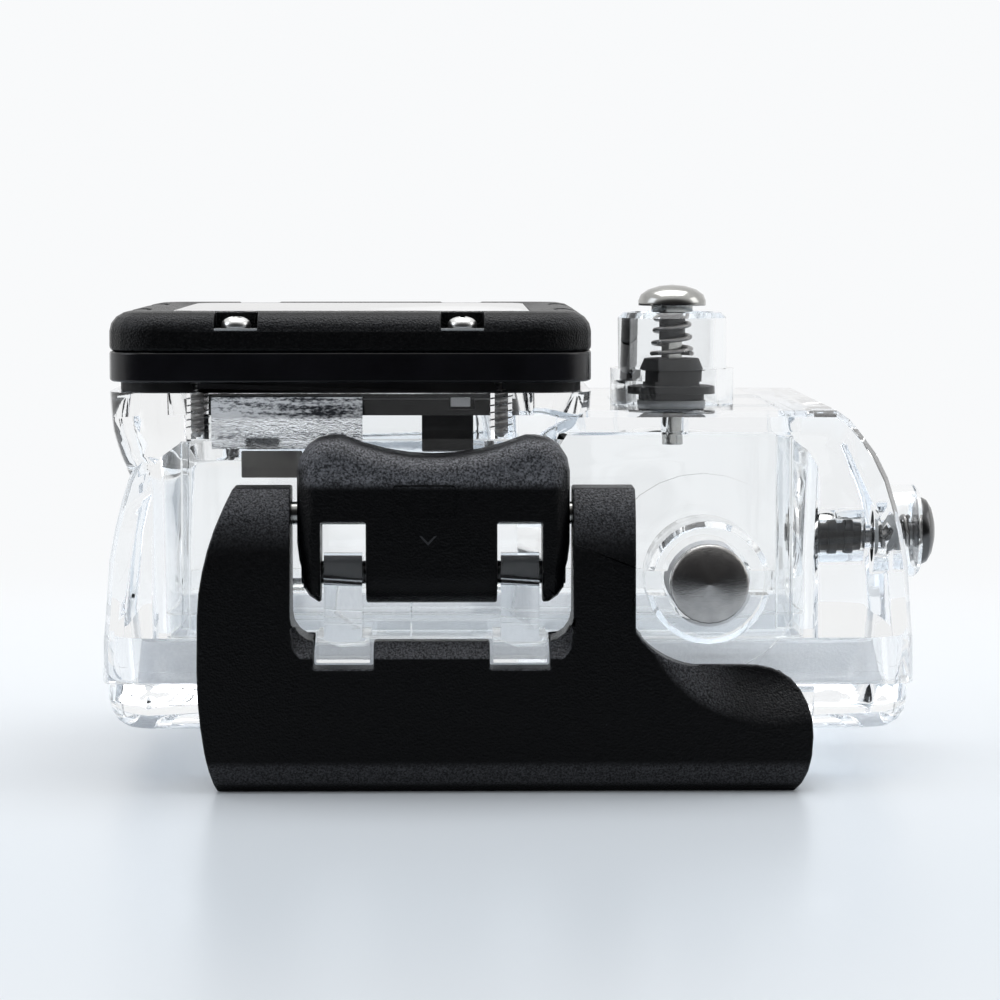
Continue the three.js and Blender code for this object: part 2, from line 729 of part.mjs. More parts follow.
// Cross-head screws
function crossRecess(frame, top) {
  const half = screwRecessWidth / 2;
  const arm = (a, b) => {
    const geometry = new THREE.BoxGeometry(2 * a, screwRecessDepth + overrun, 2 * b);
    geometry.translate(0, top - screwRecessDepth + (screwRecessDepth + overrun) / 2, 0);
    geometry.applyMatrix4(frame);
    return solidFrom(geometry);
  };
  return joined(arm(screwRecessReach, half), arm(half, screwRecessReach));
}

function bezelScrew(x, y) {
  const frame = outwardFrame('z', 1, x, y, notchFloorZ());
  const edge = screwHeadHeight / 2;
  const body = turned([
    [0, -screwShankLength], [screwShankRadius, -screwShankLength], [screwShankRadius, 0],
    [screwHeadRadius, 0], [screwHeadRadius, edge], [0.8 * screwHeadRadius, 0.85 * screwHeadHeight],
    [screwHeadRadius / 2, screwHeadHeight], [0, screwHeadHeight],
  ], frame, smallSteps / 2);
  return cut(body, crossRecess(frame, screwHeadHeight));
}

function frameScrew(x, y) {
  const shank = frameThickness - frameScrewHeadHeight + gasketThickness + frameScrewDepth;
  const frame = outwardFrame('z', 1, x, y, frameTopZ - frameScrewHeadHeight);
  return turned([
    [0, -shank], [frameScrewRadius, -shank], [frameScrewRadius, 0], [frameScrewHeadRadius, 0],
    [frameScrewHeadRadius, frameScrewHeadHeight], [0, frameScrewHeadHeight],
  ], frame, smallSteps / 2);
}

// Push-button pieces
const sealTop = (button) => [
  button.washerHeight, button.footHeight, button.flangeHeight, button.neckHeight, button.lipHeight,
].reduce((sum, height) => sum + (height ?? 0), -button.sink);

function buttonStem(button) {
  const { shaftRadius, wall, headRadius, headHeight, rimHeight, collarRadius, collarHeight } = button;
  const groove = shaftRadius - clipGrooveDepth;
  const grooveTop = -wall - runningGap + clipSeat;
  const grooveBottom = grooveTop - clipThickness - 2 * clipSeat;
  const under = button.standOff + collarHeight;
  const dome = [];
  for (let i = 0; i <= cornerSteps; i += 1) {
    const angle = (i / cornerSteps) * (Math.PI / 2);
    const height = under + rimHeight + (headHeight - rimHeight) * Math.sin(angle);
    dome.push([headRadius * Math.cos(angle), height]);
  }
  dome[cornerSteps][0] = 0;
  return turned([
    [0, grooveBottom - shaftTail], [shaftRadius, grooveBottom - shaftTail],
    [shaftRadius, grooveBottom], [groove, grooveBottom], [groove, grooveTop],
    [shaftRadius, grooveTop], [shaftRadius, button.standOff], [collarRadius, button.standOff],
    [collarRadius, under], [headRadius, under], ...dome,
  ], button.frame);
}

function buttonClip(button) {
  const groove = button.shaftRadius - clipGrooveDepth;
  const top = -button.wall - runningGap;
  return ring(groove + clipSeat, clipRadius, top - clipThickness, top, button.frame);
}

function buttonWasher(button) {
  return ring(button.shaftRadius + runningGap, button.washerRadius, -button.sink,
    button.washerHeight - button.sink, button.frame);
}

function buttonSeal(button) {
  const bore = button.shaftRadius + seatGap;
  const foot = button.washerHeight - button.sink;
  const flange = foot + button.footHeight;
  const neck = flange + button.flangeHeight;
  const lip = neck + button.neckHeight;
  return turned([
    [bore, foot], [button.footRadius, foot], [button.footRadius, flange],
    [button.flangeRadius, flange], [button.flangeRadius, neck], [button.neckRadius, neck],
    [button.neckRadius, lip], [button.lipRadius, lip],
    [button.lipTopRadius, lip + button.lipHeight], [bore, lip + button.lipHeight], [bore, foot],
  ], button.frame);
}

// The side button's seal lies inside the thick end wall and has ribs round it
function innerSeal() {
  const bore = sideButton.shaftRadius + seatGap;
  const start = -sideButton.wall;
  const pitch = innerSealLength / innerSealRibs;
  const profile = [[bore, start]];
  for (let i = 0; i < innerSealRibs; i += 1) {
    const base = start + i * pitch;
    profile.push([innerSealRadius, base], [innerSealRadius, base + pitch / 2]);
    profile.push([innerSealRadius - innerSealGroove, base + pitch / 2]);
    profile.push([innerSealRadius - innerSealGroove, base + pitch]);
  }
  profile.push([bore, start + innerSealLength], [bore, start]);
  return turned(profile, sideButton.frame, smallSteps);
}

// A spring is one unbroken tube: a helix with a short straight end at each seat
function buttonSpring(button, low, high) {
  const { springTurns, springBottomRadius, springTopRadius, frame, name } = button;
  const steps = springTurns * springStepsPerTurn;
  const tube = springWire / 2;
  const bottom = low + seatGap + springWire;
  const top = high - seatGap - springWire;
  const path = [];
  for (let i = 0; i <= steps; i += 1) {
    const share = i / steps;
    const angle = (2 * Math.PI * i) / springStepsPerTurn;
    const radius = springBottomRadius + (springTopRadius - springBottomRadius) * share;
    const outward = new THREE.Vector3(Math.cos(angle), 0, Math.sin(angle));
    const place = outward.clone().multiplyScalar(radius);
    place.y = bottom + (top - bottom) * share;
    path.push({ place, outward });
  }
  const straight = (end, shift) => ({
    place: end.place.clone().add(new THREE.Vector3(0, shift, 0)), outward: end.outward,
  });
  const stations = [straight(path[0], -springWire), ...path, straight(path[steps], springWire)];
  const positions = [];
  stations.forEach((station, i) => {
    const before = stations[Math.max(i - 1, 0)].place;
    const after = stations[Math.min(i + 1, stations.length - 1)].place;
    const along = after.clone().sub(before).normalize();
    const side = along.clone().cross(station.outward).normalize();
    const out = side.clone().cross(along).normalize();
    for (let k = 0; k < springSides; k += 1) {
      const angle = (2 * Math.PI * k) / springSides;
      const corner = station.place.clone()
        .addScaledVector(out, tube * Math.cos(angle))
        .addScaledVector(side, tube * Math.sin(angle));
      positions.push(...corner.toArray());
    }
  });
  const index = [];
  for (let i = 0; i < stations.length - 1; i += 1) {
    for (let k = 0; k < springSides; k += 1) {
      const a = i * springSides + k;
      const b = i * springSides + ((k + 1) % springSides);
      index.push(a, b, b + springSides, a, b + springSides, a + springSides);
    }
  }
  const last = (stations.length - 1) * springSides;
  for (let k = 1; k < springSides - 1; k += 1) {
    index.push(0, k + 1, k);
    index.push(last, last + k, last + k + 1);
  }
  const geometry = new THREE.BufferGeometry();
  geometry.setAttribute('position', new THREE.Float32BufferAttribute(positions, 3));
  geometry.setIndex(index);
  geometry.applyMatrix4(frame);
  console.log(`${name}_spring: least gap to itself ${leastGap(path).toFixed(2)} mm`);
  return solidFrom(geometry);
}

// Least distance between turns, measured on the helix points, less the wire
function leastGap(path) {
  let least = Infinity;
  path.forEach((first, i) => {
    path.slice(i + springStepsPerTurn / 2).forEach((second) => {
      least = Math.min(least, first.place.distanceTo(second.place) - springWire);
    });
  });
  return least;
}

// Rear door with its rounded edge, the sloped land that the latch bears on, and the hinge
function backDoor() {
  const inset = doorEdgeInset;
  const half = bodyHalfWidth - inset;
  const far = bodyLength - inset;
  const layers = [];
  for (let i = 0; i <= cornerSteps; i += 1) {
    const angle = (i / cornerSteps) * (Math.PI / 2);
    const step = doorEdgeRadius * (1 - Math.sin(angle));
    const radius = Math.max(doorCornerRadius - step, doorCornerRadius / cornerSteps);
    layers.push({
      outline: roundedRect(-half + step, inset + step, half - step, far - step, radius),
      z: doorBackZ + doorEdgeRadius * (1 - Math.cos(angle)),
    });
  }
  layers.push({ outline: roundedRect(-half, inset, half, far, doorCornerRadius), z: seamZ });
  const land = prism('x', [
    point(-overrun, doorBackZ - overrun), point(inset + doorLandReach, doorBackZ - overrun),
    point(inset + doorLandReach, doorBackZ), point(inset, doorBackZ + doorLandRise),
    point(-overrun, doorBackZ + doorLandRise),
  ], -plateReach, plateReach);
  const armGap = (centre, width) => box(
    centre - width / 2 - runningGap, far - hingeRelief, 0,
    centre + width / 2 + runningGap, far + overrun, seamZ + overrun,
  );
  const plug = plugOutline(0);
  const hollow = plugOutline(plugWidth);
  const door = joined(
    cut(loft(layers), land),
    prism('z', plug, seamZ - doorEdgeInset, seamZ + plugHeight),
    doorKnuckle(-doorKnuckleCentre),
    doorKnuckle(doorKnuckleCentre),
  );
  return cut(
    door,
    prism('z', hollow, seamZ, seamZ + plugHeight + overrun),
    armGap(-outerArmCentre, outerArmWidth),
    armGap(0, middleArmWidth),
    armGap(outerArmCentre, outerArmWidth),
    rod(bodyLength + hingeOffset, hingeZ, hingePinRadius + pinGap, -bodyHalfWidth, bodyHalfWidth),
  );
}

function doorKnuckle(centre) {
  const y = bodyLength + hingeOffset;
  const radius = knuckleRadius - seatGap;
  const side = [
    point(bodyLength - doorEdgeRadius, seamZ - seatGap), point(bodyLength - doorEdgeRadius, doorBackZ),
    point(y - radius, doorBackZ - seatGap),
    ...arc(y, hingeZ, radius, Math.PI, 2.5 * Math.PI, 3 * cornerSteps),
  ];
  return prism('x', side, centre - doorKnuckleWidth / 2, centre + doorKnuckleWidth / 2);
}

// Outlines of the seal, tapered so that it clears the mouth as the door swings
function sealOutline(inset) {
  const wall = mouthWall + runningGap + inset;
  const half = bodyHalfWidth - wall;
  return roundedRect(-half, wall, half, bodyLength - wall, bodyCornerRadius - inset / 2);
}

const plugOutline = (inset) => sealOutline(sealWidth + seatGap + inset);

function doorSeal() {
  return cut(
    loft([{ outline: sealOutline(0), z: seamZ }, { outline: sealOutline(sealTaper), z: seamZ + sealHeight }]),
    prism('z', sealOutline(sealWidth), seamZ - overrun, seamZ + sealHeight + overrun),
  );
}

// Latch lever: the plan outline, cut to its side profile
function latchLever() {
  const width = leverRight - leverLeft;
  const middle = (leverLeft + leverRight) / 2;
  const hump = leverHumpShare * width;
  const valleyRadius = (hump * hump + leverValley * leverValley) / (2 * leverValley);
  const valleyHalf = Math.asin(hump / valleyRadius);
  const tail = latchPinZ - leverBarrelRadius;
  const radius = leverCornerRadius;
  const tailRadius = leverTailRadius;
  const tailLeft = leverLeft + leverTailInset;
  const tailRight = leverRight - leverTailInset;
  const plan = [
    ...arc(tailLeft + tailRadius, tail + tailRadius, tailRadius, Math.PI, 1.5 * Math.PI),
    ...arc(tailRight - tailRadius, tail + tailRadius, tailRadius, 1.5 * Math.PI, 2 * Math.PI),
    point(leverRight, latchPinZ + leverBarrelRadius),
    ...arc(leverRight - radius, leverFrontZ - radius, radius, 0, Math.PI / 2),
    ...arc(middle, leverFrontZ - leverValley + valleyRadius, valleyRadius,
      1.5 * Math.PI + valleyHalf, 1.5 * Math.PI - valleyHalf, 2 * cornerSteps),
    ...arc(leverLeft + radius, leverFrontZ - radius, radius, Math.PI / 2, Math.PI),
    point(leverLeft, latchPinZ + leverBarrelRadius),
  ];
  const nose = leverNoseRadius;
  const side = [
    ...arc(latchPinY, latchPinZ, leverBarrelRadius, Math.PI, 2 * Math.PI, 2 * cornerSteps),
    point(leverInnerY, platePinZ),
    ...arc(leverInnerY - nose, leverFrontZ - nose, nose, 0, Math.PI / 2),
    point(latchFaceY, leverFrontZ),
  ];
  const notch = (centre) => box(
    centre - leverNotchWidth / 2, latchFaceY - overrun, tail - overrun,
    centre + leverNotchWidth / 2, overrun, leverNotchZ,
  );
  return cut(
    prism('y', plan, latchFaceY, leverEdge + overrun, leverEdge, leverEdgeSteps).intersect(
      prism('x', side, leverLeft - overrun, leverRight + overrun)),
    ...hookCentres.map(notch),
    rod(latchPinY, latchPinZ, latchPinRadius + pinGap, 2 * leverLeft, -leverLeft),
    rod(platePinY, platePinZ, platePinRadius + pinGap, 2 * leverLeft, -leverLeft),
  );
}

// Latch plate: a plan outline with a slot for the lever, an open toe and a sloped lip
function platePlan() {
  const radius = slotCornerRadius;
  const { x, z } = shutterButton;
  const left = smooth(fromShares(plateLeftShares, -plateReach, plateTopZ), 14);
  const right = smooth(fromShares(plateRightShares, plateReach, plateTopZ), 14);
  const arcEnd = Math.acos((plateLegRight - x) / guardClearRadius);
  return [
    ...left,
    ...right,
    ...arc(x, z, guardClearRadius, 1.5 * Math.PI, 2 * Math.PI - arcEnd, 2 * cornerSteps),
    point(plateLegRight, plateTopZ),
    point(slotRight, plateTopZ),
    ...arc(slotRight - radius, slotBottomZ + radius, radius, 0, -Math.PI / 2),
    ...arc(slotLeft + radius, slotBottomZ + radius, radius, 1.5 * Math.PI, Math.PI),
    point(slotLeft, plateTopZ),
  ];
}

// Sections of the plate: its outer face, nose and toe, and the lip under the door's edge
function plateFace() {
  const nose = plateNoseShares.map(([u, v]) =>
    point(latchFaceY + u * plateNoseDepth, v * plateTopZ));
  return [
    point(latchFaceY + plateToeFlat, 0), point(latchFaceY + plateToeBandDepth, plateToeBandZ),
    point(latchFaceY, plateToeZ), ...nose,
  ];
}

function lipSection() {
  const length = Math.hypot(doorLandReach, doorLandRise);
  const normalY = (doorLandRise / length) * lipGap;
  const normalZ = (doorLandReach / length) * lipGap;
  const top = point(doorEdgeInset - normalY, doorBackZ + doorLandRise - normalZ);
  const tip = point(doorEdgeInset + doorLandReach - normalY, doorBackZ - normalZ);
  const slope = point(doorLandReach, -doorLandRise).divideScalar(length);
  tip.addScaledVector(slope, -lipTipCut);
  top.addScaledVector(slope, -lipShoulderReach);
  const web = latchFaceY + plateWeb;
  return [
    ...plateFace().slice(0, 3), point(latchFaceY, lipTopZ), point(web, lipTopZ),
    top, tip,
    point(tip.x, lipTipCut), point(tip.x - lipTipCut, 0),
  ];
}

function latchPlate() {
  const plan = platePlan();
  const far = doorEdgeInset + doorLandReach + overrun;
  const face = [...plateFace(), point(plateInnerY, plateTopZ), point(plateInnerY, 0)];
  const web = latchFaceY + plateWeb;
  const wide = plateReach + overrun;
  const lever = latchFaceY - overrun;
  const slab = prism('y', plan, latchFaceY, plateInnerY).intersect(prism('x', face, -wide, wide));
  const lip = prism('y', plan, lever, far).intersect(prism('x', lipSection(), -wide, wide));
  const behindWeb = box(-wide, web, -overrun, wide, far, lipTopZ);
  const behindSlot = box(slotLeft - legPocketWall, web, 0, plateLegRight + wide, far, slotBottomZ);
  const { x, z } = shutterButton;
  const scoop = turned([
    [0, -overrun], ...scoopDepthShares.map(([u, v]) => [u * scoopRadius, v * scoopDepth]),
    [0, scoopDepth],
  ], outwardFrame('y', 1, x + scoopFromShutter, latchFaceY, z), 2 * fineSteps);
  const bevelOutline = roundedRect(slotLeft, slotBottomZ - 2 * slotBevel, slotRight, plateTopZ,
    slotCornerRadius + slotBevel);
  const bevel = prism('x', [
    point(lever, slotBottomZ - 2 * slotBevel), point(latchFaceY, slotBottomZ - slotBevel),
    point(latchFaceY + 2 * slotBevel, slotBottomZ + slotBevel), point(lever, slotBottomZ + slotBevel),
  ], slotLeft, slotRight).intersect(prism('y', bevelOutline, lever, plateInnerY));
  const blockGap = hookBlockWidth / 2 + runningGap;
  const pocket = box(slotLeft - legPocketWall - plateWeb, web, lipTopZ + legPocketWall,
    slotLeft - legPocketWall, overrun, legPocketTopZ);
  return cut(
    joined(cut(slab, behindWeb, behindSlot), lip),
    scoop,
    bevel,
    pocket,
    ...hookCentres.map((centre) => box(centre - blockGap, lever, hookBlockBottomZ - latchSwingGap,
      centre + blockGap, far, slotBottomZ + slotCornerRadius)),
    rod(platePinY, platePinZ, platePinRadius + pinGap, platePinEnd(-1) - seatGap, platePinEnd(1) + seatGap),
  );
}

const platePinEnd = (side) => (side < 0 ? slotLeft : slotRight) + side * plateWeb;

// Assembly
addPiece('front_shell', frontShell(), clearPlastic);
addPiece('lens_gasket', lensGasket(), blackRubber);
addPiece('lens_frame', lensFrame(), glossBlack);
addPiece('lens_glass', glassPane(), lensGlass);
addPiece('lens_bezel', lensBezel(), grainedBlack);
addPiece('light_baffle', lightBaffle(), blackRubber);
bezelScrewPlaces().forEach(([x, y], i) => addPiece(`bezel_screw_${i + 1}`, bezelScrew(x, y), steel));
frameScrewPlaces().forEach(([x, y], i) => addPiece(`frame_screw_${i + 1}`, frameScrew(x, y), steel));

for (const button of buttons) {
  const { name } = button;
  addPiece(`${name}_button`, buttonStem(button), name === 'shutter' ? satinSteel : steel);
  addPiece(`${name}_clip`, buttonClip(button), steel);
  addPiece(`${name}_washer`, buttonWasher(button), greyPlastic);
  addPiece(`${name}_spring`, buttonSpring(button, sealTop(button), button.standOff), steel);
}
addPiece('power_seal', buttonSeal(powerButton), blackRubber);
addPiece('shutter_seal', buttonSeal(shutterButton), blackRubber);
addPiece('side_seal', innerSeal(), blackRubber);

addPiece('back_door', backDoor(), clearPlastic);
addPiece('door_seal', doorSeal(), greyRubber);
addPiece('hinge_pin', rod(bodyLength + hingeOffset, hingeZ, hingePinRadius, -hingePinHalf,
  hingePinHalf), steel);
addPiece('latch_lever', latchLever(), grainedBlack);
addPiece('latch_plate', latchPlate(), grainedBlack);
addPiece('lever_pin', rod(latchPinY, latchPinZ, latchPinRadius, leverLeft + leverTailInset,
  leverRight - leverTailInset), steel);
addPiece('plate_pin', rod(platePinY, platePinZ, platePinRadius, platePinEnd(-1), platePinEnd(1)), steel);

// Set the origin at the centre of the base of the bounding box
const rightEnd = sideFaceX + sideButton.standOff + sideButton.collarHeight + sideButton.headHeight;
const leftEnd = -bodyHalfWidth - flangeProud;
const topEnd = -shutterButton.standOff - shutterButton.collarHeight - shutterButton.headHeight;
const bottomEnd = bodyLength + prongReach;
housing.position.set(-(leftEnd + rightEnd) / 2, -(topEnd + bottomEnd) / 2, 0);

export default housing;
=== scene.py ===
# Looks for the clear dive case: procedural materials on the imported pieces, and the small
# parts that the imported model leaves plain. Metres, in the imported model's frame.
import math

import bmesh
import bpy
from mathutils import Matrix, Vector


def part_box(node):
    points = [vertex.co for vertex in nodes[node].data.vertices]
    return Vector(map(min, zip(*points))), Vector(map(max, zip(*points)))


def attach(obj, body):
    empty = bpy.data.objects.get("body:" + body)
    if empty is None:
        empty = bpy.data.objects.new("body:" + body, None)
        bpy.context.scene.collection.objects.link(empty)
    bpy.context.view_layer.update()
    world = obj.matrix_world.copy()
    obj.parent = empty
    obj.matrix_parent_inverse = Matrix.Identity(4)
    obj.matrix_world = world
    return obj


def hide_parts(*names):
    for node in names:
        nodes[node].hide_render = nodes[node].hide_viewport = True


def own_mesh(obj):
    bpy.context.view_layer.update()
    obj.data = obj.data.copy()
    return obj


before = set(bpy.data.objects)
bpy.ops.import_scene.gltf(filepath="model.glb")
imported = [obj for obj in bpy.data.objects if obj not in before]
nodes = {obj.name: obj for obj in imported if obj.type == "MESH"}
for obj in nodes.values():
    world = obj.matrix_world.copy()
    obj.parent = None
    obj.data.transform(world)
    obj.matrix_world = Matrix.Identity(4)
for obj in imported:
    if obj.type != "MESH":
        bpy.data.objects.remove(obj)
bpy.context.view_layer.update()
MM = 0.001

# Camera, placed from the photograph's own perspective
CAMERA_PLACE = (-0.00688, -0.33, 0.0489)
CAMERA_LENS = 124.74
CAMERA_SENSOR = 36
CAMERA_NEAR = 0.01
CAMERA_PITCH = math.radians(4.53)
CAMERA_YAW = math.radians(0.782)

# Floor: its colours, and the depths between which one turns into the other
FLOOR_HALF = 3.0
FLOOR_BLUE = (0.66, 0.72, 0.78, 1)
FLOOR_PALE = (0.84, 0.87, 0.9, 1)
FLOOR_TURN = (-0.12, 0.12)
FLOOR_ROUGHNESS = 0.3
FLOOR_IOR = 1.4
# Distances from the object between which the floor fades into the backdrop
SWEEP = (0.075, 0.2)
BACKDROP = (0.945, 0.955, 0.965, 1)
# Depths between which the floor's reflection turns into the dark room's
ROOM_DEPTHS = (-0.05, -0.13)
ROOM = (0.018, 0.018, 0.022, 1)

# World: brightness from the room in front (0) to the back of the studio and overhead (1), for
# polished surfaces, for plain light and for what is seen through the clear plastic
OVERHEAD_SHARE = 0.6
STUDIO_SPAN = (-0.75, 0.1)
STUDIO_STOPS = ((0.0, 0.03), (0.4, 0.1), (0.75, 0.7), (1.0, 0.95))
FILL_STOPS = ((0.0, 0.55), (0.6, 0.7), (1.0, 0.95))
GLIMPSE_STOPS = ((0.0, 0.5), (0.3, 0.62), (0.6, 0.93), (1.0, 0.96))
LIGHT_LEVEL = 0.6

# Lamps: name, place, size, power and colour, all turned to the middle of the case
LAMP_TARGET = (0, 0, 0.02)
LAMPS = [
    ("overhead", (0, 0.06, 0.55), (0.5, 0.4), 2.0, (1, 1, 1)),
    ("left", (-0.6, -0.1, 0.3), (0.3, 0.4), 0.7, (0.86, 0.91, 1)),
    ("right", (0.65, -0.05, 0.32), (0.3, 0.4), 0.6, (1, 1, 1)),
]


def add_to_scene(item):
    bpy.context.scene.collection.objects.link(item)
    return item


def add_camera():
    data = bpy.data.cameras.new("camera")
    data.lens = CAMERA_LENS
    data.sensor_width = CAMERA_SENSOR
    data.clip_start = CAMERA_NEAR
    camera = add_to_scene(bpy.data.objects.new("camera", data))
    camera.location = CAMERA_PLACE
    camera.rotation_euler = (math.pi / 2 - CAMERA_PITCH, 0, -CAMERA_YAW)
    bpy.context.scene.camera = camera


class Nodes:
    """A node tree with short calls to add a node and join sockets."""

    def __init__(self, tree):
        self.tree = tree
        tree.nodes.clear()

    def add(self, kind, inputs=None, **values):
        node = self.tree.nodes.new(kind)
        for name, value in values.items():
            setattr(node, name, value)
        for name, value in (inputs or {}).items():
            socket = node.inputs[name]
            if isinstance(value, bpy.types.NodeSocket):
                self.tree.links.new(value, socket)
            else:
                socket.default_value = value
        return node

    def out(self, kind, inputs=None, **values):
        """The first output of a new node."""
        return self.add(kind, inputs, **values).outputs[0]

    def place(self):
        """Each point's place on its own piece."""
        return self.add("ShaderNodeTexCoord").outputs["Object"]

    def math(self, operation, *values):
        return self.out("ShaderNodeMath", dict(enumerate(values)), operation=operation)

    def vector(self, operation, *values):
        return self.out("ShaderNodeVectorMath", dict(enumerate(values)), operation=operation)

    def length(self, vector):
        return self.add("ShaderNodeVectorMath", {0: vector}, operation="LENGTH").outputs["Value"]

    def axes(self, vector):
        return self.add("ShaderNodeSeparateXYZ", {"Vector": vector}).outputs

    def remap(self, value, source, target=(0.0, 1.0), curve="LINEAR"):
        """A value moved from one range to another, and held at its ends."""
        return self.out("ShaderNodeMapRange", {
            "Value": value, "From Min": source[0], "From Max": source[1],
            "To Min": target[0], "To Max": target[1],
        }, interpolation_type=curve)

    def spread(self, value, low, high):
        """A value of 0 to 1 moved to the range from low to high."""
        return self.remap(value, (0.0, 1.0), (low, high))

    def rise(self, value, ends):
        """0 at the first end and 1 at the second, with an eased rise between them."""
        return self.remap(value, ends, curve="SMOOTHSTEP")

    def ramp(self, value, *stops):
        node = self.add("ShaderNodeValToRGB", {"Fac": value})
        ramp = node.color_ramp
        while len(ramp.elements) < len(stops):
            ramp.elements.new(0.5)
        for element, (place, colour) in zip(ramp.elements, stops):
            element.position = place
            element.color = colour if isinstance(colour, tuple) else (colour, colour, colour, 1)
        return node.outputs["Color"]

    def mix(self, share, first, second):
        """Two shaders: the first at share 0, the second at 1."""
        return self.out("ShaderNodeMixShader", {0: share, 1: first, 2: second})

    def noise(self, place, scale, detail=2.0, roughness=0.5):
        return self.out("ShaderNodeTexNoise", {
            "Vector": place, "Scale": scale, "Detail": detail, "Roughness": roughness,
        })

    def bump(self, height, strength, distance):
        return self.out("ShaderNodeBump", {
            "Height": height, "Strength": strength, "Distance": distance,
        })

    def stretched(self, place, scale):
        """The place with its X scaled, which draws a pattern out along X."""
        return self.out("ShaderNodeMapping", {"Vector": place, "Scale": (scale, 1, 1)})

    def principled(self, inputs):
        return self.out("ShaderNodeBsdfPrincipled", inputs)

    def finish(self, shader):
        self.add("ShaderNodeOutputMaterial", {"Surface": shader})

    def finish_clear(self, shader, tint, spent=None):
        """Ends a clear material: shadows fall through it, and so do the rays that are spent."""
        passed = self.add("ShaderNodeLightPath").outputs["Is Shadow Ray"]
        if spent is not None:
            passed = self.math("MAXIMUM", passed, spent)
        self.finish(self.mix(passed, shader, self.out("ShaderNodeBsdfTransparent", {"Color": tint})))


def new_material(name):
    material = bpy.data.materials.new(name)
    material.use_nodes = True
    return material, Nodes(material.node_tree)


# Clear plastic: slow waves with a little grain, and a haze that comes and goes
WAVE_SCALE = 90.0
WAVE_DEPTH = 0.0004
CLEAR_GRAIN_SCALE = 2600.0
CLEAR_GRAIN_SHARE = 0.03
HAZE_SCALE = 240.0
HAZE_RANGE = (0.5, 1.8)
# Painted shade: the colour darkens toward grazing edges, in place of the dark that the plastic refracts
# there
PAINTED_EDGE_BLEND = 0.35
PAINTED_EDGE_START = 0.72
CLEAR_SHADOW = (0.95, 0.96, 0.97, 1)
# A ray that has turned about inside the plastic this often leaves it
GLOSSY_TURNS = 2.5
ALL_TURNS = 8.5


def clear_material(name, tint, painted_edge_dark, ior, roughness, wave):
    """Moulded clear plastic: refracts, takes a painted shade that darkens its colour a little at
    grazing edges, and lets lamps through.
    """
    material, tree = new_material(name)
    place = tree.place()
    waves = tree.noise(place, WAVE_SCALE, detail=1.0)
    grain = tree.noise(place, CLEAR_GRAIN_SCALE)
    haze = tree.noise(place, HAZE_SCALE, detail=3.0)
    height = tree.math("ADD", waves, tree.math("MULTIPLY", grain, CLEAR_GRAIN_SHARE))
    # Painted shade at the grazing edges
    facing = tree.add("ShaderNodeLayerWeight", {"Blend": PAINTED_EDGE_BLEND}).outputs["Facing"]
    glass = tree.principled({
        "Base Color": tree.ramp(facing, (0.0, tint), (PAINTED_EDGE_START, tint), (1.0, painted_edge_dark)),
        "Roughness": tree.spread(haze, *(roughness * end for end in HAZE_RANGE)),
        "IOR": ior, "Transmission Weight": 1.0,
        "Normal": tree.bump(height, strength=wave, distance=WAVE_DEPTH),
    })
    path = tree.add("ShaderNodeLightPath")
    spent = tree.math("MAXIMUM", tree.math("GREATER_THAN", path.outputs["Glossy Depth"], GLOSSY_TURNS),
                      tree.math("GREATER_THAN", path.outputs["Ray Depth"], ALL_TURNS))
    tree.finish_clear(glass, CLEAR_SHADOW, spent)
    return material


# Frosted patch: its pits and streaks, drawn out along X, and the heights between which its
# lower rows grow paler and clearer
FROST_PITS = {"scale": 5200.0, "roughness": 0.7}
FROST_PITS_DRAWN = 0.4
FROST_STREAKS = 1700.0
FROST_STREAKS_DRAWN = 0.12
FROST_ROWS = (0.0326, 0.0318)
FROST_PALER = 0.13
FROST_STOPS = ((0.43, (0.045, 0.048, 0.055, 1)), (0.5, (0.4, 0.41, 0.43, 1)),
               (0.57, (0.93, 0.94, 0.96, 1)))
FROST_TRANSMISSION = 0.2
FROST_SHADOW = (0.9, 0.92, 0.94, 1)


def frosted_clear():
    """The clear plastic with an eroded grain: pits in short streaks, paler toward the lower rows."""
    material, tree = new_material("frosted")
    place = tree.place()
    pits = tree.noise(tree.stretched(place, FROST_PITS_DRAWN), **FROST_PITS)
    streaks = tree.noise(tree.stretched(place, FROST_STREAKS_DRAWN), FROST_STREAKS)
    low_rows = tree.rise(tree.axes(place)["Z"], FROST_ROWS)
    share = tree.math("ADD", tree.math("MULTIPLY", low_rows, FROST_PALER),
                      tree.math("MULTIPLY", tree.math("ADD", pits, streaks), 0.5))
    glass = tree.principled({
        "Base Color": tree.ramp(share, *FROST_STOPS), "Roughness": 0.14, "IOR": 1.25,
        "Transmission Weight": tree.math("ADD", FROST_TRANSMISSION,
                                         tree.math("MULTIPLY", low_rows, 1 - FROST_TRANSMISSION)),
        "Normal": tree.bump(pits, strength=0.5, distance=0.00015),
    })
    tree.finish_clear(glass, FROST_SHADOW)
    return material


# Door seal: the scale of its grain, its colours, and the tint of its shadow
SILICONE_GRAIN = 4200.0
SILICONE_STOPS = ((0.35, (0.82, 0.83, 0.85, 1)), (0.65, (0.95, 0.96, 0.97, 1)))
SILICONE_SHADOW = (0.85, 0.87, 0.9, 1)


def silicone():
    """The door seal: milky rubber that lets the light behind it glow through."""
    material, tree = new_material("silicone")
    place = tree.place()
    grain = tree.noise(place, SILICONE_GRAIN, detail=3.0, roughness=0.65)
    shader = tree.principled({
        "Base Color": tree.ramp(grain, *SILICONE_STOPS), "Roughness": 0.5, "IOR": 1.3,
        "Transmission Weight": 0.7, "Normal": tree.bump(grain, strength=0.4, distance=0.0001),
    })
    tree.finish_clear(shader, SILICONE_SHADOW)
    return material


# Turned steel: slope of its dished face, and the rings and grain left by the tool
TURNED_DISH = -0.2
RING_TURNS = 52000.0
RING_DEPTH = 0.0000011
TURNED_GRAIN = 9500.0
TURNED_GRAIN_DEPTH = 0.00002
TURNED_STAIN = 700.0
TURNED_STOPS = ((0.3, (0.34, 0.335, 0.33, 1)), (0.7, (0.46, 0.45, 0.44, 1)))


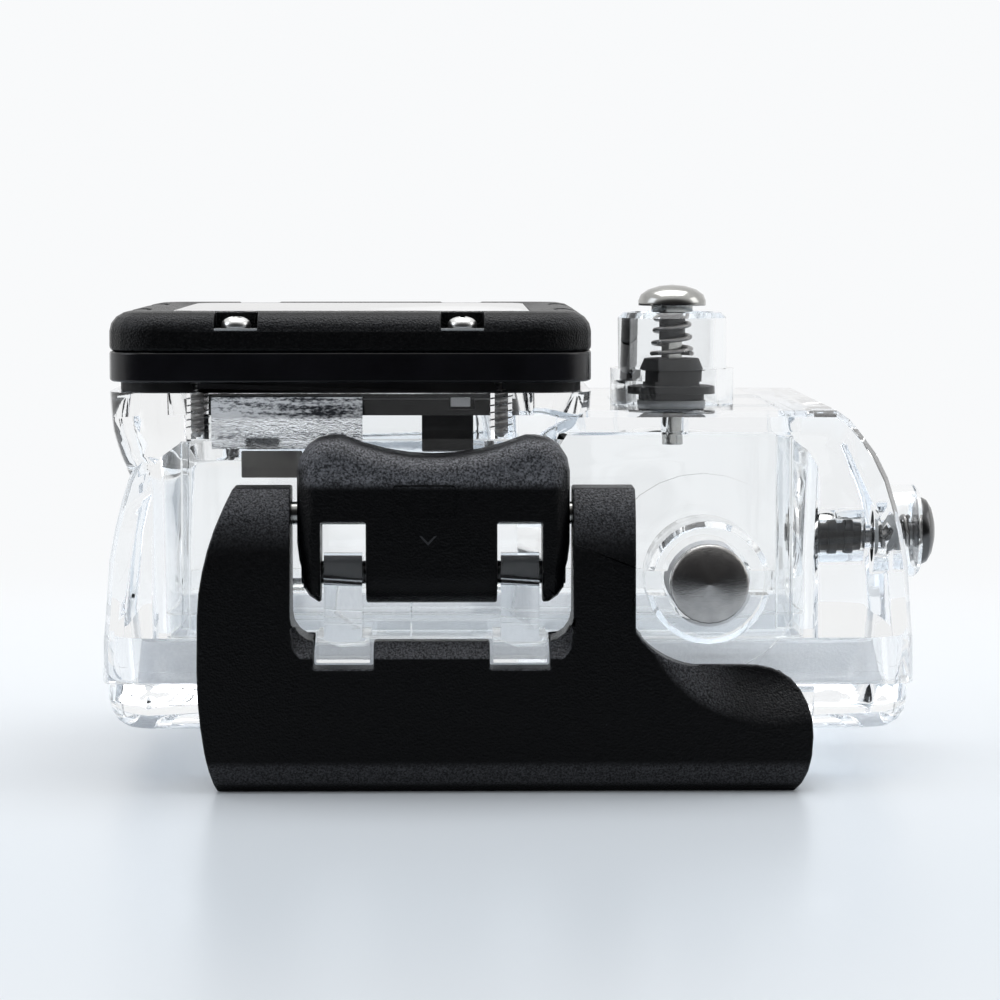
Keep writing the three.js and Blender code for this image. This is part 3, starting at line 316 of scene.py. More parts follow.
def turned_steel(centre):
    """The shutter button: faced on a lathe, dished a little, with fine rings round its middle."""
    material, tree = new_material("turned_steel")
    place = tree.place()
    away = tree.vector("SUBTRACT", place, centre)
    radius = tree.length(tree.vector("MULTIPLY", away, (1, 0, 1)))
    rings = tree.math("SINE", tree.math("MULTIPLY", radius, RING_TURNS))
    grain = tree.noise(place, TURNED_GRAIN, roughness=0.6)
    marks = tree.math("ADD", tree.math("MULTIPLY", rings, RING_DEPTH),
                      tree.math("MULTIPLY", grain, TURNED_GRAIN_DEPTH))
    height = tree.math("ADD", tree.math("MULTIPLY", radius, TURNED_DISH), marks)
    tree.finish(tree.principled({
        "Base Color": tree.ramp(tree.noise(place, TURNED_STAIN, detail=3.0), *TURNED_STOPS),
        "Roughness": tree.spread(grain, 0.14, 0.3), "Metallic": 1.0,
        "Normal": tree.bump(height, strength=1.0, distance=1.0),
    }))
    return material


# Spark-eroded black: its pits, its colours, and the painted highlight laid into the colour of slopes
# that turn up
PIT_SCALE = 5200.0
CLOUD_SCALE = 5600.0
PIT_DEPTH = 0.00008
BLACK_TO_PAINTED_HIGHLIGHT_STOPS = ((0.0, (0.0008, 0.001, 0.0015, 1)), (1.0, (0.21, 0.215, 0.235, 1)))
PAINTED_SPARKLE_STOPS = ((0.4, 0.12), (0.62, 1.0))
PAINTED_HIGHLIGHT_CREST = ((0.8, 1.0), (0.97, 0.12))
PAINTED_HIGHLIGHT_RISE = 0.15
PAINTED_HIGHLIGHT_SHOULDER = 0.75
# Places along X between which the painted highlight falls off on the plate's toe
TOE_SPAN = (0.012, 0.018)
# The lever's nose: a painted highlight on the slope below its crest; the heights of its edge, how far
# it must face forward, and its strength
NOSE_HIGHLIGHT_HEIGHTS = (0.0262, 0.0272)
NOSE_HIGHLIGHT_FACING = (-0.5, -0.85)
NOSE_HIGHLIGHT_LEVEL = 0.8
# The plate's lower edge: a painted reflection of the pale table in one band; the heights where it
# begins and ends, and its strength
REFLECTION_BAND_START = (0.0004, 0.001)
REFLECTION_BAND_END = (0.0029, 0.0021)
REFLECTION_BAND_LEVEL = 0.36


def grained_black(name, start, level, highlight_beyond_toe=1.0, nose_highlight=False, reflection_band=False):
    """Spark-eroded black plastic: fine pits, a satin sheen, and a painted highlight in the colour of
    slopes that turn up.
    """
    material, tree = new_material(name)
    place = tree.place()
    pits = tree.out("ShaderNodeTexVoronoi", {"Vector": place, "Scale": PIT_SCALE})
    cloud = tree.noise(place, CLOUD_SCALE, detail=3.0, roughness=0.7)
    normal = tree.axes(tree.add("ShaderNodeNewGeometry").outputs["Normal"])
    spot = tree.axes(place)
    highlight_mask = tree.ramp(normal["Z"], (start, 0.0), (start * 2 + PAINTED_HIGHLIGHT_RISE, PAINTED_HIGHLIGHT_SHOULDER),
                      *PAINTED_HIGHLIGHT_CREST)
    if nose_highlight:
        # A painted highlight on the slope below the lever's crest, which ends in a sharp line across
        # its face
        above = tree.rise(spot["Z"], NOSE_HIGHLIGHT_HEIGHTS)
        facing = tree.remap(normal["Y"], NOSE_HIGHLIGHT_FACING)
        highlight_mask = tree.math("MAXIMUM", highlight_mask,
                          tree.math("MULTIPLY", above, tree.math("MULTIPLY", facing, NOSE_HIGHLIGHT_LEVEL)))
    highlight_mask = tree.math("MULTIPLY", highlight_mask, tree.remap(spot["X"], TOE_SPAN, (1.0, highlight_beyond_toe)))
    if reflection_band:
        # The plate's lower edge turns under; the pale table it would reflect there is painted into its
        # colour as one even band
        inside = tree.math("MULTIPLY", tree.rise(spot["Z"], REFLECTION_BAND_START),
                           tree.rise(spot["Z"], REFLECTION_BAND_END))
        highlight_mask = tree.math("MAXIMUM", highlight_mask, tree.math("MULTIPLY", inside, REFLECTION_BAND_LEVEL))
    # The painted highlight, broken up by the grain, lightens the base colour from black toward grey
    painted_sparkle = tree.ramp(cloud, *PAINTED_SPARKLE_STOPS)
    painted_highlight = tree.math("MULTIPLY", tree.math("MULTIPLY", highlight_mask, painted_sparkle), level)
    tree.finish(tree.principled({
        "Base Color": tree.ramp(painted_highlight, *BLACK_TO_PAINTED_HIGHLIGHT_STOPS), "Roughness": tree.spread(cloud, 0.24, 0.4),
        "IOR": 1.5, "Specular IOR Level": 0.14,
        "Normal": tree.bump(tree.math("ADD", pits, cloud), strength=0.8, distance=PIT_DEPTH),
    }))
    return material


# Plain plastics and steels: their finest relief, the stops between their two colours, how much
# finer the plastics' relief is than their mottle, and the scales of the steels' two noises
RELIEF_DEPTH = 0.00003
MOTTLE_STOPS = (0.3, 0.7)
FINE_TO_MOTTLE = 9
BRUSHED_SCALE = 1400.0
STAIN_SCALE = 500.0


def plain_plastic(name, dark, light, roughness, scale, relief):
    """A moulded or rubber surface with a mottled colour, uneven gloss and a fine relief."""
    material, tree = new_material(name)
    place = tree.place()
    mottle = tree.noise(place, scale, detail=3.0)
    fine = tree.noise(place, scale * FINE_TO_MOTTLE, detail=3.0)
    tree.finish(tree.principled({
        "Base Color": tree.ramp(mottle, *zip(MOTTLE_STOPS, (dark, light))),
        "Roughness": tree.spread(fine, *roughness), "IOR": 1.5, "Specular IOR Level": 0.35,
        "Normal": tree.bump(fine, strength=relief, distance=RELIEF_DEPTH),
    }))
    return material


def steel(name, dark, light, roughness):
    """A metal surface with a faint stain in its colour and fine uneven gloss."""
    material, tree = new_material(name)
    place = tree.place()
    brushed = tree.noise(place, BRUSHED_SCALE, detail=3.0)
    stain = tree.noise(place, STAIN_SCALE, detail=3.0)
    tree.finish(tree.principled({
        "Base Color": tree.ramp(stain, *zip(MOTTLE_STOPS, (dark, light))),
        "Roughness": tree.spread(brushed, *roughness), "Metallic": 1.0,
        "Normal": tree.bump(brushed, strength=0.12, distance=RELIEF_DEPTH),
    }))
    return material


def middle_of(node):
    low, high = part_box(node)
    return (Vector(low) + Vector(high)) / 2


# Plastics and rubbers: dark and light colour, range of roughness, mottle scale and relief
PLASTICS = {
    "gloss_black": ((0.003, 0.003, 0.004, 1), (0.006, 0.006, 0.008, 1), (0.16, 0.3), 300.0, 0.1),
    "mark_black": ((0.02, 0.021, 0.024, 1), (0.034, 0.035, 0.039, 1), (0.3, 0.45), 300.0, 0.1),
    "shade_plastic": ((0.08, 0.076, 0.072, 1), (0.19, 0.18, 0.165, 1), (0.3, 0.5), 200.0, 0.1),
    "black_rubber": ((0.006, 0.006, 0.007, 1), (0.013, 0.013, 0.014, 1), (0.5, 0.75), 500.0, 0.3),
    "grey_rubber": ((0.82, 0.83, 0.85, 1), (0.9, 0.91, 0.93, 1), (0.45, 0.65), 260.0, 0.2),
    "grey_plastic": ((0.25, 0.26, 0.27, 1), (0.34, 0.35, 0.36, 1), (0.35, 0.5), 300.0, 0.15),
}

# Steels: dark and light colour, and range of roughness
STEELS = {
    "dark_steel": ((0.07, 0.07, 0.075, 1), (0.13, 0.13, 0.13, 1), (0.16, 0.3)),
    "polished_steel": ((0.3, 0.3, 0.29, 1), (0.46, 0.46, 0.44, 1), (0.12, 0.24)),
    "screw_steel": ((0.66, 0.66, 0.65, 1), (0.84, 0.84, 0.83, 1), (0.24, 0.36)),
    "satin_steel": ((0.2, 0.195, 0.19, 1), (0.32, 0.31, 0.305, 1), (0.22, 0.36)),
}

MATERIALS = {
    "frosted": frosted_clear(),
    "turned_steel": turned_steel(tuple(middle_of("shutter_button"))),
    "clear_plastic": clear_material("clear_plastic", tint=(0.97, 0.98, 0.985, 1),
                                    painted_edge_dark=(0.5, 0.53, 0.56, 1), ior=1.5, roughness=0.02, wave=0.05),
    "lens_glass": clear_material("lens_glass", tint=(0.93, 0.97, 0.97, 1),
                                 painted_edge_dark=(0.7, 0.76, 0.78, 1), ior=1.45, roughness=0.01, wave=0.0),
    # The grained blacks lighten their colour as a painted highlight on slopes that turn up; the plate's
    # also paints a reflection band on its lower edge, the lever's a highlight below its crest
    "grained_black": grained_black("grained_black", start=0.1, level=0.2),
    "grained_plate": grained_black("grained_plate", start=0.1, level=0.65, highlight_beyond_toe=0.15, reflection_band=True),
    "grained_lever": grained_black("grained_lever", start=0.04, level=1.0, nose_highlight=True),
    "silicone": silicone(),
}
MATERIALS.update({name: plain_plastic(name, *look) for name, look in PLASTICS.items()})
MATERIALS.update({name: steel(name, *look) for name, look in STEELS.items()})

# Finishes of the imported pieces, and the one for those that aren't named here
FINISH_OF = {
    "front_shell": "clear_plastic", "back_door": "clear_plastic",
    "lens_glass": "lens_glass", "lens_bezel": "grained_black", "lens_frame": "gloss_black",
    "lens_gasket": "black_rubber", "light_baffle": "black_rubber",
    "latch_lever": "grained_lever", "latch_plate": "grained_plate", "side_button": "dark_steel",
    "power_seal": "black_rubber", "shutter_seal": "grey_rubber", "side_seal": "black_rubber",
    "door_seal": "silicone", "shutter_button": "turned_steel", "lever_pin": "gloss_black",
    "power_washer": "grey_plastic", "shutter_washer": "grey_plastic", "side_washer": "grey_plastic",
}
PLAIN_FINISH = "polished_steel"

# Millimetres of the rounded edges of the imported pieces
EDGE_WIDTHS = {"latch_plate": 0.2, "latch_lever": 0.2, "lens_bezel": 0.16, "lens_frame": 0.24}
PLAIN_EDGE = 0.07
EDGE_STEPS = 3
# Pieces that keep the edges they have: the clear mouldings' bores lie too close to their rims
SHARP_PIECES = ("front_shell", "back_door")

# Degrees above which an edge stays a crease, and below which facets count as one plane
CREASE = 32
WIRE_CREASE = 60
THREAD_CREASE = 50
ONE_PLANE = 0.6
# Points closer than this are joined, in metres
WELD_DISTANCE = 1e-6
POINT_DISTANCE = 1e-7


def smooth_group():
    """A geometry node group that joins the facets and shades them smooth below an angle."""
    group = bpy.data.node_groups.new("smooth_below_angle", "GeometryNodeTree")
    for way in ("INPUT", "OUTPUT"):
        group.interface.new_socket("Geometry", in_out=way, socket_type="NodeSocketGeometry")
    tree = Nodes(group)
    merged = tree.out("GeometryNodeMergeByDistance", {
        "Geometry": tree.out("NodeGroupInput"), "Distance": WELD_DISTANCE,
    })
    angle = tree.add("GeometryNodeInputMeshEdgeAngle").outputs["Unsigned Angle"]
    limit = tree.add("FunctionNodeCompare", {"A": angle, "B": math.radians(CREASE)},
                     data_type="FLOAT", operation="LESS_THAN").outputs["Result"]
    faces = tree.out("GeometryNodeSetShadeSmooth", {"Geometry": merged, "Shade Smooth": True},
                     domain="FACE")
    edges = tree.out("GeometryNodeSetShadeSmooth", {"Geometry": faces, "Shade Smooth": limit},
                     domain="EDGE")
    tree.add("NodeGroupOutput", {"Geometry": edges})
    return group


def round_edges(node, width):
    """Joins the facets that lie in one plane, then rounds every edge sharper than the angle."""
    weld = node.modifiers.new("weld", "WELD")
    weld.merge_threshold = WELD_DISTANCE
    flat = node.modifiers.new("flat", "DECIMATE")
    flat.decimate_type = "DISSOLVE"
    flat.angle_limit = math.radians(ONE_PLANE)
    edge = node.modifiers.new("edge", "BEVEL")
    edge.width = width
    edge.segments = EDGE_STEPS
    edge.limit_method = "ANGLE"
    edge.angle_limit = math.radians(CREASE)
    edge.use_clamp_overlap = False
    edge.miter_outer = "MITER_ARC"


def even_normals(item):
    """Keeps the large faces flat beside their rounded rims."""
    even = item.modifiers.new("even", "WEIGHTED_NORMAL")
    even.mode = "FACE_AREA"
    even.keep_sharp = True


def dress_nodes():
    """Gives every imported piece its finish, its rounded edges and its smooth shading."""
    group = smooth_group()
    for name, node in nodes.items():
        material = MATERIALS[FINISH_OF.get(name, PLAIN_FINISH)]
        if not node.material_slots:
            node.data.materials.append(material)
        for material_slot in node.material_slots:
            material_slot.material = material
        if "spring" not in name and name not in SHARP_PIECES:
            round_edges(node, EDGE_WIDTHS.get(name, PLAIN_EDGE) * MM)
        smooth = node.modifiers.new("smooth", "NODES")
        smooth.node_group = group
        even_normals(node)


# Millimetres in the case's own drawing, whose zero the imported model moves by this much
DRAWING_SHIFT = (-1.925, -26.3)


def at(x, y, z):
    """A point of the drawing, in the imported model's frame."""
    return Vector(((x + DRAWING_SHIFT[0]) * MM, (y + DRAWING_SHIFT[1]) * MM, z * MM))


def from_drawing(mesh):
    """Moves a mesh that was made in the drawing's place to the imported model's frame."""
    for vertex in mesh.vertices:
        vertex.co = at(*(value / MM for value in vertex.co))
    return mesh


def piece(name, mesh, body, slot, material=None, stands_for=()):
    """A new object in the scene that rides on a body and takes its finish from a slot."""
    item = add_to_scene(bpy.data.objects.new(name, mesh))
    if not mesh.materials:
        mesh.materials.append(MATERIALS[material or slot])
    even_normals(item)
    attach(item, body)
    if stands_for:
        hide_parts(*stands_for)
    return item


def shade_smooth(mesh, degrees=CREASE):
    """Smooth shading with creases above an angle."""
    shaped = bmesh.new()
    shaped.from_mesh(mesh)
    for face in shaped.faces:
        face.smooth = True
    for edge in shaped.edges:
        edge.smooth = len(edge.link_faces) == 2 and edge.calc_face_angle() < math.radians(degrees)
    shaped.to_mesh(mesh)
    shaped.free()


def mesh_from(name, points, faces, degrees=CREASE):
    """A mesh from points in metres and faces, with its normals outward."""
    mesh = bpy.data.meshes.new(name)
    mesh.from_pydata([tuple(place) for place in points], [], faces)
    mesh.validate()
    shaped = bmesh.new()
    shaped.from_mesh(mesh)
    bmesh.ops.remove_doubles(shaped, verts=shaped.verts, dist=POINT_DISTANCE)
    bmesh.ops.recalc_face_normals(shaped, faces=shaped.faces)
    shaped.to_mesh(mesh)
    shaped.free()
    shade_smooth(mesh, degrees)
    return mesh


def rings_to_faces(rings, sides):
    """Side faces between rings of points, and a cap at each end."""
    faces = [list(range(sides))[::-1]]
    for row in range(rings - 1):
        for i in range(sides):
            a = row * sides + i
            b = row * sides + (i + 1) % sides
            faces.append([a, b, b + sides, a + sides])
    last = (rings - 1) * sides
    faces.append([last + i for i in range(sides)])
    return faces


LATHE_SIDES = 40
WIRE_SIDES = 10
# Shorter than this, a cross product has no sure direction
NO_LENGTH = 1e-6


def ring(radius, height, sides):
    """Points of a level circle about Z, from millimetres."""
    turns = [2 * math.pi * i / sides for i in range(sides)]
    return [(radius * math.cos(turn) * MM, radius * math.sin(turn) * MM, height * MM)
            for turn in turns]


def lathe(name, profile):
    """A turned mesh about Z from pairs of radius and height in millimetres."""
    points = [point for radius, height in profile for point in ring(radius, height, LATHE_SIDES)]
    return mesh_from(name, points, rings_to_faces(len(profile), LATHE_SIDES))


def rod_along(name, path, radius):
    """A round wire along a path of points in metres."""
    points = []
    for i, place in enumerate(path):
        before = path[max(i - 1, 0)]
        after = path[min(i + 1, len(path) - 1)]
        along = (after - before).normalized()
        side = along.cross(Vector((0, 0, 1)))
        if side.length < NO_LENGTH:
            side = along.cross(Vector((0, 1, 0)))
        side.normalize()
        up = side.cross(along)
        for k in range(WIRE_SIDES):
            angle = 2 * math.pi * k / WIRE_SIDES
            points.append(place + (side * math.cos(angle) + up * math.sin(angle)) * radius)
    return mesh_from(name, points, rings_to_faces(len(path), WIRE_SIDES), WIRE_CREASE)


# Rims sharper than this many degrees are rounded on the plates that are made here
RIM_ANGLE = 40
RIM_STEPS = 2


def slab(name, outline, low, high, edge=0.0):
    """A flat plate over an outline of (u, v) in millimetres, from low to high, with rounded rims."""
    shaped = bmesh.new()
    base = shaped.faces.new([shaped.verts.new((u * MM, v * MM, low * MM)) for u, v in outline])
    raised = bmesh.ops.extrude_face_region(shaped, geom=[base])["geom"]
    lifted = [item for item in raised if isinstance(item, bmesh.types.BMVert)]
    bmesh.ops.translate(shaped, verts=lifted, vec=(0, 0, (high - low) * MM))
    bmesh.ops.recalc_face_normals(shaped, faces=shaped.faces)
    if edge:
        rims = [rim for rim in shaped.edges if rim.calc_face_angle(0) > math.radians(RIM_ANGLE)]
        bmesh.ops.bevel(shaped, geom=rims, offset=edge * MM, segments=RIM_STEPS, profile=0.5,
                        affect="EDGES")
    mesh = bpy.data.meshes.new(name)
    shaped.to_mesh(mesh)
    shaped.free()
    shade_smooth(mesh)
    return mesh


# Steps round each corner of an outline
CORNER_STEPS = 6


def rounded(u0, v0, u1, v1, radius, steps=CORNER_STEPS):
    """Outline of a rectangle with round corners."""
    outline = []
    for cu, cv, start in ((u1 - radius, v0 + radius, -90), (u1 - radius, v1 - radius, 0),
                          (u0 + radius, v1 - radius, 90), (u0 + radius, v0 + radius, 180)):
        for i in range(steps + 1):
            angle = math.radians(start + 90 * i / steps)
            outline.append((cu + radius * math.cos(angle), cv + radius * math.sin(angle)))
    return outline


def frame_strip(name, outer, inner, low, high):
    """A closed strip between two outlines that have the same number of points."""
    count = len(outer)
    points = []
    for outline, level in ((outer, low), (outer, high), (inner, high), (inner, low)):
        points += [(u * MM, v * MM, level * MM) for u, v in outline]
    faces = []
    for level in range(4):
        for i in range(count):
            a, b = level * count + i, level * count + (i + 1) % count
            c, d = (level + 1) % 4 * count + (i + 1) % count, (level + 1) % 4 * count + i
            faces.append([a, b, c, d])
    return mesh_from(name, points, faces)


def cut_with(mesh, cutter):
    """The mesh less the cutter, as a new mesh."""
    body = add_to_scene(bpy.data.objects.new("cut_body", mesh))
    tool = add_to_scene(bpy.data.objects.new("cut_tool", cutter))
    modifier = body.modifiers.new("cut", "BOOLEAN")
    modifier.operation = "DIFFERENCE"
    modifier.solver = "EXACT"
    modifier.object = tool
    graph = bpy.context.evaluated_depsgraph_get()
    result = bpy.data.meshes.new_from_object(body.evaluated_get(graph))
    for item in (body, tool):
        bpy.data.objects.remove(item)
    result.name = mesh.name
    shade_smooth(result)
    return result


# The port's glass: middle, and its rings as half width, corner radius and height
PORT_MIDDLE = (-14.0, 20.1)
PANE_RINGS = [(17.4, 4.0, 37.27), (17.4, 4.0, 38.97), (16.0, 2.6, 38.97), (16.0, 2.6, 41.2),
              (15.84, 2.5, 41.34), (15.6, 2.4, 41.37)]


def add_pane():
    """The stepped port glass, nearly flush with the bezel's crest."""
    x, y = PORT_MIDDLE
    points = []
    for half, radius, height in PANE_RINGS:
        outline = rounded(x - half, y - half, x + half, y + half, radius)
        points += [at(u, v, height) for u, v in outline]
    mesh = mesh_from("lens_pane", points, rings_to_faces(len(PANE_RINGS), len(outline)))
    piece("lens_pane", mesh, "housing", "lens_glass", stands_for=("lens_glass",))


# Bezel screws: profile from the shank's tip to the head's crown, and the cross in the head
BEZEL_SCREWS = 8
BEZEL_SCREW_PROFILE = [
    (0, -3.55), (0.5, -3.55), (0.68, -3.25), (0.68, 0), (1.2, 0), (1.27, 0.1), (1.3, 0.3),
    (1.28, 0.5), (1.17, 0.7), (0.96, 0.88), (0.66, 1.02), (0.3, 1.11), (0, 1.13),
]
HEAD_TOP = BEZEL_SCREW_PROFILE[-1][1]
RECESS_HALF = 0.24
RECESS_REACH = 0.92
RECESS_DEPTH = 0.52
RECESS_ABOVE = 0.05
RECESS_TAPER = 0.45
# Degrees that each cross is turned from the one before it
SCREW_TURN = 37


def cross_recess(top):
    """A tapered cross, to cut into a screw's head."""
    h, r = RECESS_HALF, RECESS_REACH
    plan = [(h, -r), (h, -h), (r, -h), (r, h), (h, h), (h, r), (-h, r), (-h, h), (-r, h), (-r, -h),
            (-h, -h), (-h, -r)]
    points = []
    for share, level in ((RECESS_TAPER, top - RECESS_DEPTH), (1.0, top + RECESS_ABOVE)):
        for u, v in plan:
            reach = share if max(abs(u), abs(v)) > h else (1 + share) / 2
            points.append((u * reach * MM, v * reach * MM, level * MM))
    return mesh_from("recess", points, rings_to_faces(2, len(plan)))


def add_bezel_screws():
    mesh = cut_with(lathe("bezel_screw", BEZEL_SCREW_PROFILE), cross_recess(HEAD_TOP))
    mesh.materials.clear()
    mesh.materials.append(MATERIALS["screw_steel"])
    for number in range(1, BEZEL_SCREWS + 1):
        node = f"bezel_screw_{number}"
        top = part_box(node)[1][2]
        centre = middle_of(node)
        turned = Matrix.Rotation(math.radians(SCREW_TURN * number), 4, "Z")
        screw = mesh.copy()
        screw.transform(Matrix.Translation((centre.x, centre.y, top - HEAD_TOP * MM)) @ turned)
        piece(f"bezel_screw_{number}_cross", screw, "housing", "polished_steel", stands_for=(node,))


# Frame screws: shank radius, thread depth and pitch, and how the thread begins and runs out
FRAME_SCREWS = 4
SHANK_RADIUS = 0.72
THREAD_DEPTH = 0.36
THREAD_PITCH = 0.62
THREAD_SIDES = 28
ROWS_PER_TURN = 10
RIDGE_HALF = 0.34
TIP_SHARE = 0.45
TIP_LENGTH = 0.9
RUN_OUT_START = 0.6
RUN_OUT_LENGTH = 0.5
# Their heads: height, and rings as radius and height
SCREW_HEAD_HEIGHT = 1.0
SCREW_HEAD_RINGS = [(1.28, 0), (1.28, 0.6), (1.024, 0.9), (0.384, 1.0)]


def threaded(name, length):
    """A screw about Z with its head's underside at 0 and a real helical thread down its shank."""
    points = []
    rows = int(length / THREAD_PITCH * ROWS_PER_TURN)
    for row in range(rows + 1):
        height = -length + length * row / rows
        taper = min(1.0, TIP_SHARE + (height + length) / TIP_LENGTH)
        fade = min(1.0, max(0.0, -height / RUN_OUT_LENGTH - RUN_OUT_START))
        for i in range(THREAD_SIDES):
            turn = (height / THREAD_PITCH - i / THREAD_SIDES) % 1.0
            ridge = max(0.0, 1 - abs(turn - 0.5) / RIDGE_HALF)
            reach = (SHANK_RADIUS + THREAD_DEPTH * ridge * fade) * taper
            angle = 2 * math.pi * i / THREAD_SIDES
            points.append((reach * math.cos(angle) * MM, reach * math.sin(angle) * MM, height * MM))
    for radius, height in SCREW_HEAD_RINGS:
        points += ring(radius, height, THREAD_SIDES)
    rings = rows + 1 + len(SCREW_HEAD_RINGS)
    return mesh_from(name, points, rings_to_faces(rings, THREAD_SIDES), THREAD_CREASE)


def add_frame_screws():
    for number in range(1, FRAME_SCREWS + 1):
        node = f"frame_screw_{number}"
        low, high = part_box(node)
        centre = middle_of(node)
        mesh = threaded(node + "_thread", (high[2] - low[2]) / MM - SCREW_HEAD_HEIGHT)
        mesh.transform(Matrix.Translation((centre.x, centre.y, high[2] - SCREW_HEAD_HEIGHT * MM)))
        piece(node + "_thread", mesh, "housing", "polished_steel", "satin_steel", (node,))


# Springs: wire radius and turns, the flat half turn at each seat, and the share of the rise that is
# eased
WIRE = 0.21
SPRING_TURNS = 4.25
SPRING_POINTS = 96
SEAT_TURN = 0.5
EASED_SHARE = 0.25


def add_spring(name, axis, sign, bottom_radius, top_radius):
    """The return spring of a button, with its turns laid flat at each end."""
    node = f"{name}_spring"
    low, high = (Vector(corner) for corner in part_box(node))
    stem = middle_of(f"{name}_button")
    length = high[axis] - low[axis]
    seat = low[axis] if sign > 0 else high[axis]
    flat = SEAT_TURN / SPRING_TURNS
    u, v = [i for i in range(3) if i != axis]
    path = []
    for i in range(SPRING_POINTS + 1):
        share = i / SPRING_POINTS
        angle = 2 * math.pi * SPRING_TURNS * share
        climb = min(1.0, max(0.0, (share - flat) / (1 - 2 * flat)))
        climb = climb * climb * (3 - 2 * climb) * EASED_SHARE + climb * (1 - EASED_SHARE)
        radius = (bottom_radius + (top_radius - bottom_radius) * share) * MM
        place = Vector(stem)
        place[u] += radius * math.cos(angle)
        place[v] += radius * math.sin(angle)
        place[axis] = seat + sign * (WIRE * MM + (length - 2 * WIRE * MM) * climb)
        path.append(place)
    wire = piece(f"{name}_spring_wire", rod_along(f"{name}_spring_wire", path, WIRE * MM), "housing",
                 "polished_steel", "satin_steel", (node,))
    anchor = Vector(stem)
    anchor[axis] = seat
    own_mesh(wire)


# The sleeve round the power button's stem, as pairs of radius and height
SLEEVE_PROFILE = [(0, 38.4), (1.12, 38.4), (1.2, 38.55), (1.2, 41.0), (1.6, 41.15), (1.6, 41.45),
                  (0, 41.45)]


def add_power_stem():
    """The dark sleeve round the power button's stem, inside its spring."""
    mesh = lathe("power_sleeve", SLEEVE_PROFILE)
    centre = middle_of("power_button")
    mesh.transform(Matrix.Translation((centre.x, centre.y, 0)))
    piece("power_sleeve", mesh, "power", "black_rubber", "gloss_black")


# Blocks on the housing: name, two corners in the drawing, rounding, slot, and its own finish
# where it has one
FACE_BLOCKS = [
    # Fine mould lines on the front face, seen through the latch plate's opening
    ("face_seam", (-8.68, -0.12, 12.75), (-8.56, 0.1, 15.9), 0.03, "clear_plastic"),
    ("face_step_upper", (-19.5, -0.14, 15.28), (14.5, 0.1, 15.42), 0.03, "clear_plastic"),
    ("face_step_lower", (-19.5, -0.14, 14.2), (14.5, 0.1, 14.34), 0.03, "clear_plastic"),
]
INNER_BLOCKS = [
    ("baffle_key", (-5.15, 3.9, 33.05), (-3.4, 4.7, 33.85), 0.12, "grey_rubber"),
    ("baffle_foot", (-7.7, 3.95, 29.5), (-3.15, 5.2, 32.35), 0.15, "black_rubber"),
    ("baffle_shelf", (-23.7, 3.9, 26.7), (-18.3, 4.7, 29.5), 0.2, "black_rubber", "shade_plastic"),
    ("baffle_lip", (-23.3, 3.7, 29.7), (-20.3, 5.0, 30.4), 0.12, "black_rubber"),
    ("cavity_rib_right", (23.7, 2.8, 13.2), (25.2, 4.1, 30.2), 0.2, "clear_plastic"),
    ("cavity_rib_left", (-29.0, 2.8, 13.2), (-28.2, 3.5, 30.2), 0.15, "clear_plastic"),
]
# Least radius of a block's corners, their steps, and the share of its rounding on its rims
BLOCK_CORNER = 0.08
BLOCK_CORNER_STEPS = 3
BLOCK_RIM = 0.6

# Painted highlight: a pale grey strip along the front edge of each of the bezel's screw notches, where
# its rounded edge would catch the light; middle across, half width, floor, front and size
NOTCH_MIDDLES = {"left": -23.9, "right": -4.1}
NOTCH_HALF = 1.88
NOTCH_FLOOR = 39.85
NOTCH_FRONT = -1.17
HIGHLIGHT_STRIP_HALF = 0.1
HIGHLIGHT_STRIP_DEPTH = 0.3
HIGHLIGHT_STRIP_EDGE = 0.08


def block(name, low, high, edge, slot, material=None):
    """A rounded block on the housing between two corners of the drawing."""
    outline = rounded(*low[:2], *high[:2], max(edge, BLOCK_CORNER), BLOCK_CORNER_STEPS)
    mesh = from_drawing(slab(name, outline, low[2], high[2], edge * BLOCK_RIM))
    piece(name, mesh, "housing", slot, material)


# Each strip is a painted highlight, not a part of the bezel
def add_notch_highlights():
    for name, x in NOTCH_MIDDLES.items():
        low = (x - NOTCH_HALF, NOTCH_FRONT, NOTCH_FLOOR - HIGHLIGHT_STRIP_HALF)
        high = (x + NOTCH_HALF, NOTCH_FRONT + HIGHLIGHT_STRIP_DEPTH, NOTCH_FLOOR + HIGHLIGHT_STRIP_HALF)
        block(f"notch_highlight_{name}", low, high, HIGHLIGHT_STRIP_EDGE, "grey_plastic")


# Marks moulded on the lever: the face leans back a little towards its pin
LEVER_FACE_TOP = (-7.6, 30.8)
LEVER_FACE_FOOT = (-7.35, 18.95)
ARROW = [(-0.75, 0.42), (-0.55, 0.42), (0, -0.16), (0.55, 0.42), (0.75, 0.42), (0, -0.4)]
ARROW_PLACE = (-7.09, 21.9)
PANEL_OUTER = (-10.1, 24.05, -4.7, 26.7, 0.3)
PANEL_INNER = (-9.99, 24.16, -4.81, 26.59, 0.2)
MARK_RISE = 0.05
MARK_ROOT = 0.12


def on_lever(mesh):
    """Stands a mark, drawn flat in (x, height), up on the lever's face."""
    (y1, z1), (y0, z0) = LEVER_FACE_TOP, LEVER_FACE_FOOT
    for vertex in mesh.vertices:
        u, v, out = (value / MM for value in vertex.co)
        face = y0 + (y1 - y0) * (v - z0) / (z1 - z0)
        vertex.co = at(u, face - out, v)
    mesh.flip_normals()
    return mesh


def add_lever_marks():
    u0, v0 = ARROW_PLACE
    arrow = slab("lever_arrow", [(u0 + u, v0 + v) for u, v in ARROW], -MARK_ROOT, MARK_RISE)
    piece("lever_arrow", on_lever(arrow), "lever", "grained_black", "mark_black")
    panel = frame_strip("lever_panel", rounded(*PANEL_OUTER), rounded(*PANEL_INNER), -MARK_ROOT,
                        MARK_RISE)
    piece("lever_panel", on_lever(panel), "lever", "grained_black")


